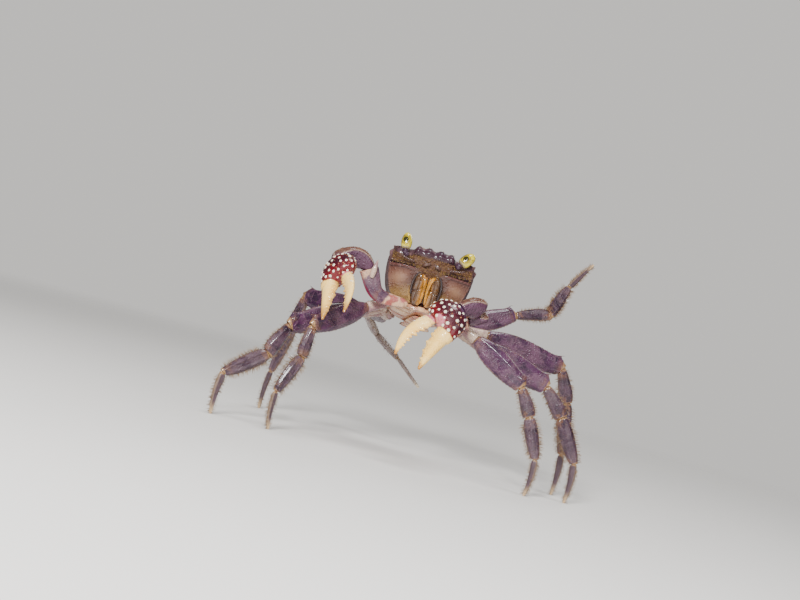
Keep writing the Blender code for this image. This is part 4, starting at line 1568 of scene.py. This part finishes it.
@dataclass
class Body:
    """The shell and everything that sits in it, in the body's own tilted axes."""
    rng: np.random.Generator
    knob: Seed
    hair: Seed
    pitch: float = 16.0          # nose up, in degrees
    rear: float = 12.6           # from the middle of the shell to its rear edge
    crown: float = 7.75          # from the middle of the shell to its top
    axes: Axes = field(init=False)

    LEVELS = 3                   # of rounding
    UNDER_LEVELS = 4
    GROOVES = (                  # of the back, on one side: start, end, half-width, depth
        ((0.0, -11.2), (0.0, -6.2), 0.55, 0.36), ((0.0, -6.2), (1.9, -2.6), 0.5, 0.3),
        ((3.6, -11.0), (3.3, -8.0), 0.5, 0.28), ((3.3, -8.0), (4.4, -5.2), 0.5, 0.16),
        ((12.6, -5.6), (8.6, -3.6), 0.6, 0.26), ((8.6, -3.6), (5.4, 0.4), 0.6, 0.42),
        ((5.4, 0.4), (2.6, 1.4), 0.55, 0.46), ((2.6, 1.4), (0.0, 1.7), 0.5, 0.28),
        ((2.6, 1.4), (3.2, 4.2), 0.55, 0.42), ((3.2, 4.2), (3.9, 7.4), 0.6, 0.34),
        ((3.9, 7.4), (2.6, 9.8), 0.6, 0.26), ((2.6, 9.8), (0.0, 10.4), 0.6, 0.2),
        ((5.4, 0.4), (8.4, 2.8), 0.7, 0.16),
    )
    REGIONS = (                  # between the grooves, on one side: middle, radius, swelling
        ((0.0, -3.0), 3.4, 0.35), ((5.6, -5.0), 3.2, 0.3), ((0.0, 5.6), 2.8, 0.3),
        ((8.6, 4.0), 4.2, 0.45), ((0.0, 12.0), 3.0, -0.15),
    )
    SUTURES = {                  # of the underside: their places from front to rear, and half-width
        "sternum": ((-4.6, -1.6, 3.2, 7.4), 0.32),
        "abdomen": ((-1.6, 1.6, 4.2, 6.8, 9.2), 0.26),
    }
    GAZE = {
        Side.LEFT: Gaze(1.22, -0.55, -0.6, (0.7, 0.7)),
        Side.RIGHT: Gaze(1.08, 0.0, -0.35, (0.85, -0.5)),
    }
    MOUTH = (
        Limb("inner_mouth", AMBER, ((0.75, -8.6, -9.0), (0.62, -9.9, -7.4), (0.5, -10.9, -5.0),
                                    (0.48, -11.5, -3.0), (0.6, -11.9, -1.6)), (0.35, 0.52, 0.5, 0.44, 0.22)),
        Limb("palp", AMBER, ((1.9, -12.0, -1.5), (1.3, -12.9, -2.2), (0.8, -13.0, -3.5),
                             (0.62, -12.4, -5.0), (0.66, -11.3, -6.6)), (0.5, 0.62, 0.55, 0.42, 0.2)),
        Limb("mouth_whip", WHIP, ((4.15, -9.4, -7.0), (4.5, -10.5, -5.2), (4.4, -11.4, -3.2),
                                  (3.7, -12.0, -1.4), (2.7, -12.6, -0.7), (1.9, -12.9, -0.7)),
             (0.34, 0.42, 0.42, 0.38, 0.3, 0.14)),
    )
    FOLDED = Limb("antennule", FEELER, ((2.6, -11.4, 1.9), (2.3, -12.5, 1.7), (1.5, -12.9, 1.9),
                                        (0.9, -12.9, 2.3), (0.7, -12.7, 2.9)), (0.55, 0.6, 0.5, 0.34, 0.16))

    def __post_init__(self) -> None:
        """Find the body's axes from the shell's node."""
        turn = math.radians(self.pitch)
        cosine, sine = math.cos(turn), math.sin(turn)
        rows = np.array(((1, 0, 0), (0, cosine, -sine), (0, sine, cosine)), float)
        points = np.array([vertex.co for vertex in frame["nodes"]["carapace"].data.vertices]) / MM
        local = points @ rows.T
        low, high = local.min(0), local.max(0)
        origin = np.array((0.5 * (low[0] + high[0]), high[1] - self.rear, high[2] - self.crown))
        self.axes = Axes(origin @ rows, rows)

    def build(self) -> None:
        """Make the plates of the body."""
        shell = self.shell()
        self.under()
        for side in Side:
            self.mouth_plate(side)
            self.eye(side)
            self.feelers(side)
        self.fuzz(shell)
        self.beads(shell)

    def shell(self) -> Skin:
        """The whole shell, with its regions, lobes, sockets and teeth."""
        plate = Plate("carapace").copy()
        plate.soften(self.LEVELS)
        bench = Bench(plate.piece)
        local, normal = bench.seen_in(self.axes)
        form = Form(local, normal, np.abs(local[:, 0]))
        for shape in (self.back, self.crest, self.teeth, self.face):
            shape(form)
        bench.move(self.axes.out(form.local))
        bench.paint(**self.shell_masks(form))
        plate.dress(SHELL.build(), "shell")
        return Skin(plate.piece, self.axes)

    def back(self, form: Form) -> None:
        """Groove the back, swell the regions between the grooves, and ridge the flanks."""
        local, normal, wide = form.local, form.normal, form.wide
        _, y, z = local.T
        half = np.stack([wide, y], axis=1)
        top = smooth(0.3, 0.8, normal[:, 2]) * (z > 4.5)
        depth = np.zeros(len(local))
        for start, end, width, deep in self.GROOVES:
            depth = np.maximum(depth, deep * bump(segment_distance(half, start, end), 0.0, width))
        local -= normal * (depth * top)[:, None]
        for middle, radius, height in self.REGIONS:
            away = np.linalg.norm(half - np.array(middle), axis=1)
            local[:, 2] += height * bump(away, 0.0, radius) * top
        flank = smooth(7.6, 10.4, wide) * smooth(-5.5, -3.0, y) * smooth(11.0, 8.5, y) * smooth(2.0, 4.0, z)
        phase = (y + 0.55 * (wide - 10.0)) / 1.9
        ridge = np.clip(np.cos(math.tau * phase), 0.0, 1.0) ** 3
        local += normal * (0.24 * ridge * flank)[:, None]
        form.parts.update(top=top, depth=depth)

    @staticmethod
    def crest(form: Form) -> None:
        """Raise the four lobes of the crest."""
        local, wide = form.local, form.wide
        crest = smooth(-9.0, -10.8, local[:, 1]) * smooth(4.0, 5.4, local[:, 2]) * smooth(7.4, 6.6, wide)
        lobes = bump(wide, 1.8, 1.15) + 0.9 * bump(wide, 5.25, 1.05)
        local += form.normal * (0.42 * (lobes - 0.35) * crest)[:, None]
        local[:, 1] -= 0.15 * lobes * crest
        form.parts.update(crest=crest, lobes=lobes)

    @staticmethod
    def teeth(form: Form) -> None:
        """Draw out the teeth outside the eyes again after rounding, each over a second one."""
        local, wide = form.local, form.wide
        x, y, z = local.T
        reach = blob((wide, 12.9, 0.75), (y, -12.4, 1.0), (z, 4.9, 0.75))
        local[:, 0] += np.sign(x) * 0.7 * reach
        local[:, 1] -= 1.5 * reach
        local[:, 2] += 0.9 * reach
        second = blob((wide, 13.2, 0.7), (y, -8.2, 0.8), (z, 4.6, 1.0))
        notch = blob((wide, 13.2, 0.7), (y, -9.7, 0.5), (z, 4.6, 1.6))
        local[:, 0] += np.sign(x) * (0.45 * second - 0.5 * notch)
        local[:, 1] -= 0.5 * second

    def face(self, form: Form) -> None:
        """Cut the groove under the sockets, and raise the mouth's frame and the cheeks."""
        local, wide = form.local, form.wide
        _, y, z = local.T
        face = smooth(0.25, 0.6, -form.normal[:, 1]) * (y < -5.0)
        groove = bump(z, 1.1, 0.24) * face * smooth(3.4, 4.4, wide) * smooth(12.9, 12.4, wide)
        local[:, 1] += 0.65 * groove
        ledge = bump(z, 1.65, 0.26) * face * smooth(3.0, 4.2, wide) * smooth(12.6, 11.8, wide)
        local[:, 1] -= 0.35 * ledge
        gate = self.mouth_edge(z)
        rim = bump(wide, gate, 0.35) * face * smooth(0.8, -0.6, z)
        local[:, 1] -= 0.4 * rim
        local[:, 1] -= 0.45 * (blob((wide, 8.2, 2.6), (z, -2.2, 2.3)) * face)
        inside = smooth(gate + 0.1, gate - 0.4, wide) * face * smooth(-0.2, -0.9, z)
        local[:, 1] += 0.5 * inside
        form.parts.update(face=face, groove=groove, gate=gate, rim=rim, inside=inside)

    @staticmethod
    def shell_masks(form: Form) -> dict[str, Array]:
        """Where each colour and texture of the shell lies.

        Args:
            form: the shell's vertices after shaping.

        Returns:
            The masks by name.
        """
        wide, normal, parts = form.wide, form.normal, form.parts
        _, y, z = form.local.T
        face, gate, rim, inside, crest = (parts[name] for name in ("face", "gate", "rim", "inside", "crest"))
        jowl = z + 0.25 * (wide - 6.0)
        below_brow = z + 1.9 * smooth(4.8, 2.8, wide)
        band = face * smooth(1.35, 1.6, below_brow) * smooth(4.6, 4.2, z) * smooth(12.9, 12.2, wide)
        flap = face * smooth(4.2, 4.7, z) * smooth(6.4, 5.9, z) * smooth(7.2, 6.6, wide)
        band = band * (1 - flap)
        # Painted shade in the groove under the sockets, in a strip under the front's flap and in the grooves
        # of the back; and a dark line across the face under the pale ridge below the groove.
        ink = np.maximum.reduce([
            parts["groove"],
            0.75 * bump(z, 4.35, 0.25) * face * smooth(7.0, 6.2, wide),
            0.6 * parts["depth"] * parts["top"] * 2.0,
            0.6 * bump(z, 0.0, 0.2) * face * smooth(4.8, 5.8, wide),
        ])
        flank_edge = smooth(12.2, 13.0, wide) * smooth(1.8, 3.0, z) * smooth(6.4, 5.2, z)
        flank_edge = flank_edge * smooth(2.0, -4.0, y)
        rose = np.maximum(bump(z, 0.62, 0.22) * face * smooth(4.0, 5.5, wide) * 0.7, 0.25 * flank_edge)
        # A pale patch on the swell of each cheek: partly the shell's paler tone, partly a painted highlight.
        pale_sheen = face * blob((wide, 8.8, 2.3), (z, -3.3, 1.9))
        umber = face * (z < 1.0) * np.maximum.reduce([
            smooth(7.2, 5.0, wide) * smooth(-6.4, -4.6, z),
            0.8 * smooth(-2.2, 0.4, z),
            0.6 * smooth(10.4, 12.4, wide + 0.3 * z),
        ])
        down = 0.42 * face * smooth(-1.6, -4.2, jowl) * smooth(gate + 0.2, gate + 0.8, wide)
        wall = smooth(0.5, 0.85, np.abs(normal[:, 0])) * (z < 4.0)
        matt = np.maximum.reduce([band, wall, 0.75 * parts["top"] * (1 - crest)])
        return {
            "lobe": np.clip(crest * parts["lobes"], 0, 1),
            "cheek": face * smooth(1.3, 0.9, z) * smooth(3.2, 4.0, wide),
            "gold": np.maximum(face * smooth(-3.8, -6.8, jowl), 0.6 * rim),
            "flap": flap,
            "rose": rose,
            "fuzz": np.maximum(band, down),
            "ink": np.clip(ink, 0, 1),
            "pale_sheen": pale_sheen,
            "maw": inside * (1 - rim),
            "umber": umber,
            "matt": np.clip(matt, 0, 1),
            "sleek": 0.85 * np.clip(np.maximum(crest, pale_sheen), 0, 1),
        }

    @staticmethod
    def mouth_edge(height: Array) -> Array:
        """Half-width of the mouth's frame at each height."""
        return np.interp(height, (-9.5, -6.0, -2.4, -0.4), (3.6, 4.5, 4.2, 2.4))

    def under(self) -> None:
        """The breastplate and the folded tail, each with its sutures."""
        for node, (spots, width) in self.SUTURES.items():
            plate = Plate(node).copy()
            plate.crease_rims(0.35)
            plate.soften(self.UNDER_LEVELS)
            bench = Bench(plate.piece)
            local, normal = bench.seen_in(self.axes)
            below = smooth(0.2, 0.6, -normal[:, 2])
            lines = np.zeros(len(local))
            for spot in spots:
                lines = np.maximum(lines, bump(local[:, 1] + 0.12 * np.abs(local[:, 0]), spot, width))
            if node == "sternum":
                lines = lines * smooth(2.0, 3.4, np.abs(local[:, 0]))
            local -= normal * (0.3 * lines * below)[:, None]
            if node == "sternum":
                local[:, 2] += 0.9 * smooth(0.0, 0.4, normal[:, 2]) * smooth(-1.5, -4.0, local[:, 1])
            bench.move(self.axes.out(local))
            behind = smooth(0.1, 0.6, normal[:, 1]) if node == "abdomen" else np.zeros(len(local))
            bench.paint(groove=0.7 * lines * below, ridge=0.85 * behind)
            plate.dress(UNDER.build(), "belly")

    def mouth_plate(self, side: Side) -> None:
        """One outer mouth plate: two broad joints parted by a seam, and a palp at the top."""
        plate = Plate("maxilliped_" + side.word).copy()
        caps = sorted(plate.caps, key=lambda cap: plate.centre(cap)[2])
        start, end = plate.centre(caps[0]), plate.centre(caps[-1])
        plate.crease_rims(0.3)
        plate.soften(self.LEVELS)
        along = unit(end - start)
        outward = unit(np.cross(along, np.array((1.0, 0.0, 0.0)) * side.value))
        axes = Axes.upright(start, along, outward)
        bench = Bench(plate.piece)
        local, normal = bench.seen_in(axes)
        share = local[:, 0] / np.linalg.norm(end - start)
        front = smooth(0.1, 0.6, np.abs(normal[:, 2]))
        seam = bump(share + 0.05 * local[:, 1], 0.53, 0.022)
        furrow = bump(local[:, 1] + 0.9 * (share - 0.4), 0.35, 0.2)
        furrow = furrow * smooth(0.06, 0.14, share) * smooth(0.96, 0.86, share)
        local -= normal * ((0.3 * seam + 0.2 * furrow) * front)[:, None]
        bench.move(axes.out(local))
        across = share_of_edge(local[:, 0], local[:, 1] * self.outer_sign(axes, side))
        bench.paint(groove=np.clip(np.maximum(seam * 0.6, 0.5 * smooth(0.62, 1.0, across)), 0, 1),
                    ridge=0.8 * smooth(0.1, -0.6, across) * (1.0 - 0.5 * furrow))
        plate.dress(OUTER.build(), "mouthparts")
        for limb in self.MOUTH:
            self.add_limb(limb, side)

    def add_limb(self, limb: Limb, side: Side) -> None:
        """Model one small limb of the face on one side.

        Args:
            limb: as it is on the left side.
            side: which side it is made for.
        """
        knots = [(side.value * x, y, z) for x, y, z in limb.knots]
        piece = Stem(knots, limb.radii).piece(f"crab_{limb.name}_{side.word}", self.axes)
        settle(piece, limb.finish.build())

    @staticmethod
    def outer_sign(axes: Axes, side: Side) -> float:
        """The sign that the mouth plate's outer margin has along its own Y."""
        return float(np.sign(axes.turn[1, 0] * side.value)) or 1.0

    def eye(self, side: Side) -> None:
        """An eye with its false pupil, and the stalk it sits on."""
        plate = Plate("eye_" + side.word).copy()
        stalk = Plate("eyestalk_" + side.word).copy()
        first, last = plate.ends(middle_of("eyestalk_" + side.word))
        base, tip = plate.centre(first), plate.centre(last)
        along = unit(tip - base)
        ahead = np.array((0.0, -1.0, 0.06))
        axes = Axes.beside(0.5 * (base + tip), along, unit(np.cross(along, ahead)))
        plate.soften(self.LEVELS)
        bench = Bench(plate.piece)
        local = axes.into(bench.points())
        gaze = self.GAZE[side]
        local *= np.array((1.03, gaze.width, 1.07))
        bench.move(axes.out(local))
        level, apart, front = axes.into(bench.points()).T
        front = (front < 0.0) * 1.0
        level_off, apart_off = level - gaze.rise, apart - gaze.shift
        away = np.hypot(level_off * 0.9, apart_off)
        course = np.array(gaze.course)
        further = course @ np.stack([level_off, apart_off])
        beside = course[::-1] @ np.stack([level_off, -apart_off])
        streak = bump(beside, 0.0, 0.24) * smooth(0.5, 0.9, further) * front
        # The last term darkens the eye towards its sides: painted shade.
        halo = 0.8 * bump(away, 1.2, 0.26) * front + 0.55 * streak + 0.5 * smooth(1.3, 1.8, np.abs(apart))
        bench.paint(pupil=smooth(1.0, 0.72, away) * front * 0.97, rim=0.85 * smooth(-1.95, -2.2, level),
                    halo=np.clip(halo, 0, 1))
        plate.dress(EYE.build(), "eye")
        stalk.crease_rims(0.4)
        stalk.press(stalk.ends(base)[0], 0.15, 0.5, 0.9)
        stalk.soften(self.LEVELS)
        stalk.dress(STALK.build(), "eyestalk")

    def feelers(self, side: Side) -> None:
        """The feeler beside the eye, and the small folded one under the front."""
        plate = Plate("antenna_" + side.word).copy()
        plate.crease_rims(0.3)
        plate.soften(self.LEVELS)
        bench = Bench(plate.piece)
        points, normal = bench.points(), bench.normals()
        rings = 0.05 * np.sin(points[:, 0] * 9.0)
        bench.move(points + normal * rings[:, None])
        bench.paint(groove=smooth(0.0, -0.05, rings) * 0.6)
        plate.dress(FEELER.build(), "mouthparts")
        self.add_limb(self.FOLDED, side)

    def fuzz(self, shell: Skin) -> None:
        """Short hair in the band under the eyes, on the lower cheeks and in tufts over the back."""
        coat = Growth("crab_face_hair", self.hair, self.rng)
        x, y, z = shell.centres.T
        wide, normal = np.abs(x), shell.normals
        face = (-normal[:, 1] > 0.3) & (y < -5.0)
        band = face * smooth(1.3, 1.6, z + 1.9 * smooth(4.8, 2.8, wide)) * smooth(4.5, 4.0, z) * (wide < 12.4)
        cheeks = face * smooth(-3.4, -6.0, z + 0.25 * (wide - 6.0)) * (wide > self.mouth_edge(z) + 0.3)
        rows = np.clip(np.sin(y * 2.6 + 0.4 * np.sin(x)), 0.0, 1.0) ** 4
        back = (normal[:, 2] > 0.6) * rows * smooth(2.0, -2.0, y) * smooth(11.0, 9.0, wide) * (y < 1.0)
        groove = face * bump(z, 1.3, 0.2) * smooth(3.4, 4.4, wide) * (wide < 12.4)
        crops = ((band, 1100, 0.55, -0.7), (cheeks, 520, 0.6, -0.8), (back, 420, 0.42, 0.0),
                 (groove, 160, 0.55, -0.3))
        for island, (weight, count, size, drop) in enumerate(crops):
            chosen = shell.roots(weight, count, 0.0, self.rng)
            lean = self.rng.normal(scale=0.25, size=(len(chosen), 3))
            lean[:, 2] += drop
            lean[:, 1] -= 0.6 if drop == 0.0 else 0.0
            height = size * self.rng.uniform(0.5, 1.25, len(chosen))
            width = self.rng.uniform(0.08, 0.13, len(chosen))
            coat.add(shell, chosen, height, width, lean, island, len(crops), 0.05)
        coat.piece(FACE_HAIR.build(), "shell")

    def beads(self, shell: Skin) -> None:
        """Rows of small beads under the sockets, along the front and on the lobes."""
        beads = Growth("crab_face_beads", self.knob, self.rng)
        x, y, z = shell.centres.T
        wide = np.abs(x)
        face = (-shell.normals[:, 1] > 0.2) & (y < -8.0)
        ledge = face * bump(z, 1.75, 0.12) * (wide > 3.6) * (wide < 12.2)
        brow = face * bump(z, 4.6, 0.14) * (wide < 6.6)
        rows = ((ledge, 46, 0.17), (brow, 26, 0.14))
        for island, (weight, count, size) in enumerate(rows):
            chosen = shell.roots(weight, count, 0.42, self.rng)
            radius = size * self.rng.uniform(0.7, 1.25, len(chosen))
            beads.dot(shell, chosen, radius, 0.85, island, len(rows))
        beads.piece(SHELL.build(), "shell")


@dataclass
class Stem:
    """A tapering limb drawn out of a disc along a bent line, in some axes and millimetres."""
    knots: Sequence[tuple[float, float, float]]
    radii: Sequence[float]
    sides: int = 8

    def piece(self, name: str, axes: Axes) -> Obj:
        """Model the limb.

        Args:
            name: the piece's name.
            axes: the axes that the knots are given in.

        Returns:
            The finished mesh object, at the origin.
        """
        spots = [Vector(axes.out(np.array(knot, float))) * MM for knot in self.knots]
        facing = (spots[1] - spots[0]).normalized()
        bpy.ops.object.select_all(action="DESELECT")
        bpy.ops.mesh.primitive_cylinder_add(vertices=self.sides, radius=self.radii[0] * MM, depth=0.1 * MM)
        made = bpy.context.object
        made.name = made.data.name = name
        made.data.transform(facing.to_track_quat("Z", "Y").to_matrix().to_4x4())
        made.data.transform(Matrix.Translation(spots[0]))
        bench = Bench(made)
        last = max(made.data.polygons, key=lambda face: face.normal.dot(facing))
        bench.pick("FACE", [last.index])
        for before, here, small, large in zip(spots, spots[1:], self.radii[1:], self.radii):
            bpy.ops.mesh.extrude_region_move(TRANSFORM_OT_translate={"value": here - before})
            share = small / large
            bpy.ops.transform.resize(value=(share, share, share))
        bench.renumber(len(spots))
        bench.leave()
        bench.modify("SUBSURF", levels=2, render_levels=2)
        return made


# ---------- studio

@dataclass(frozen=True)
class Studio:
    """A pale floor that fades into a pale room, soft lights, and the camera."""
    floor_radius: float = 1.6
    fade: tuple[float, float] = (0.15, 0.75)
    paleness: Colour = (0.86, 0.84, 0.81)
    camera_right: float = -6.6       # from the middle of the shell, in millimetres
    camera_back: float = 341.0
    camera_drop: float = 19.0
    camera_up: float = 2.0           # how far it looks up, in degrees
    camera_roll: float = 15.5
    lens: float = 49.5
    glow_around: float = 0.16        # strength of the room's light on the crab
    glow_seen: float = 0.85          # and as the camera sees it
    lights: tuple[tuple[str, tuple[float, float, float], float, float], ...] = (
        ("key", (-0.14, -0.5, 0.26), 0.12, 4.2),
        ("spark", (0.0, -0.42, 0.22), 0.05, 0.8),
        ("fill", (0.5, -0.5, 0.22), 0.3, 0.8),
        ("top", (0.05, -0.05, 0.75), 0.24, 2.6),
        ("rim", (0.35, 0.55, 0.42), 0.3, 1.2),
    )

    def build(self) -> None:
        """Set up the floor, the room, the lights and the camera."""
        low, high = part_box("carapace")
        middle = (low + high) * 0.5
        self.floor()
        self.room()
        for name, place, size, power in self.lights:
            self.light(name, Vector(place), size, power, middle)
        self.camera(middle)

    def floor(self) -> None:
        """A round floor whose edge melts away."""
        bpy.ops.object.select_all(action="DESELECT")
        bpy.ops.mesh.primitive_circle_add(vertices=96, radius=self.floor_radius, fill_type="NGON")
        floor = bpy.context.object
        floor.name = "floor"
        made = bpy.data.materials.new("floor")
        made.use_nodes = True
        wiring = Wiring(made.node_tree)
        shader = made.node_tree.nodes["Principled BSDF"]
        shader.inputs["Base Color"].default_value = (*self.paleness, 1.0)
        shader.inputs["Roughness"].default_value = 0.75
        away = wiring.add("ShaderNodeVectorMath", operation="LENGTH")
        wiring.join(wiring.add("ShaderNodeTexCoord").outputs["Object"], away.inputs[0])
        wiring.join(wiring.span(away.outputs["Value"], *self.fade, 1.0, 0.0), shader.inputs["Alpha"])
        floor.data.materials.append(made)

    def room(self) -> None:
        """The pale light that comes from all round."""
        world = bpy.data.worlds.new("room")
        world.use_nodes = True
        wiring = Wiring(world.node_tree)
        shade = world.node_tree.nodes["Background"]
        shade.inputs["Color"].default_value = (*self.paleness, 1.0)
        seen = wiring.add("ShaderNodeLightPath").outputs["Is Camera Ray"]
        wiring.join(wiring.span(seen, 0.0, 1.0, self.glow_around, self.glow_seen), shade.inputs["Strength"])
        bpy.context.scene.world = world

    @staticmethod
    def light(name: str, place: Vector, size: float, power: float, target: Vector) -> None:
        """One square soft light that looks at the crab.

        Args:
            name: of the lamp.
            place: where it hangs.
            size: its width, in metres.
            power: in watts.
            target: what it looks at.
        """
        lamp = bpy.data.lights.new(name, "AREA")
        lamp.shape, lamp.size, lamp.energy = "SQUARE", size, power
        item = bpy.data.objects.new(name, lamp)
        bpy.context.scene.collection.objects.link(item)
        item.location = place
        item.rotation_euler = (target - place).to_track_quat("-Z", "Y").to_euler()

    def camera(self, middle: Vector) -> None:
        """A low camera in front, rolled as a hand holds it."""
        eye = bpy.data.cameras.new("camera")
        eye.lens, eye.clip_start = self.lens, 0.01
        item = bpy.data.objects.new("camera", eye)
        bpy.context.scene.collection.objects.link(item)
        up, roll = math.radians(self.camera_up), math.radians(self.camera_roll)
        ahead = Vector((0.0, math.cos(up), math.sin(up)))
        above = Vector((0.0, -math.sin(up), math.cos(up)))
        right = Vector((1.0, 0.0, 0.0))
        across = right * math.cos(roll) + above * math.sin(roll)
        rise = above * math.cos(roll) - right * math.sin(roll)
        turn = Matrix((across, rise, -ahead)).transposed().to_4x4()
        place = middle + Vector((self.camera_right, -self.camera_back, -self.camera_drop)) * MM
        item.matrix_world = Matrix.Translation(place) @ turn
        bpy.context.scene.camera = item


def main() -> None:
    """Build the crab and its studio."""
    logging.basicConfig(level=logging.INFO, format="%(name)s: %(message)s")
    rng = np.random.default_rng(FIRST_DRAW)
    knob, hair = Seed.knob(), Seed.hair()
    Body(rng, knob, hair).build()
    for side in Side:
        Claw(side, *CLAWS[side], rng, knob, hair).build()
        for pair in PAIRS:
            Leg(side, pair, rng, hair).build()
    Studio().build()


if __name__ == "__main__":
    main()
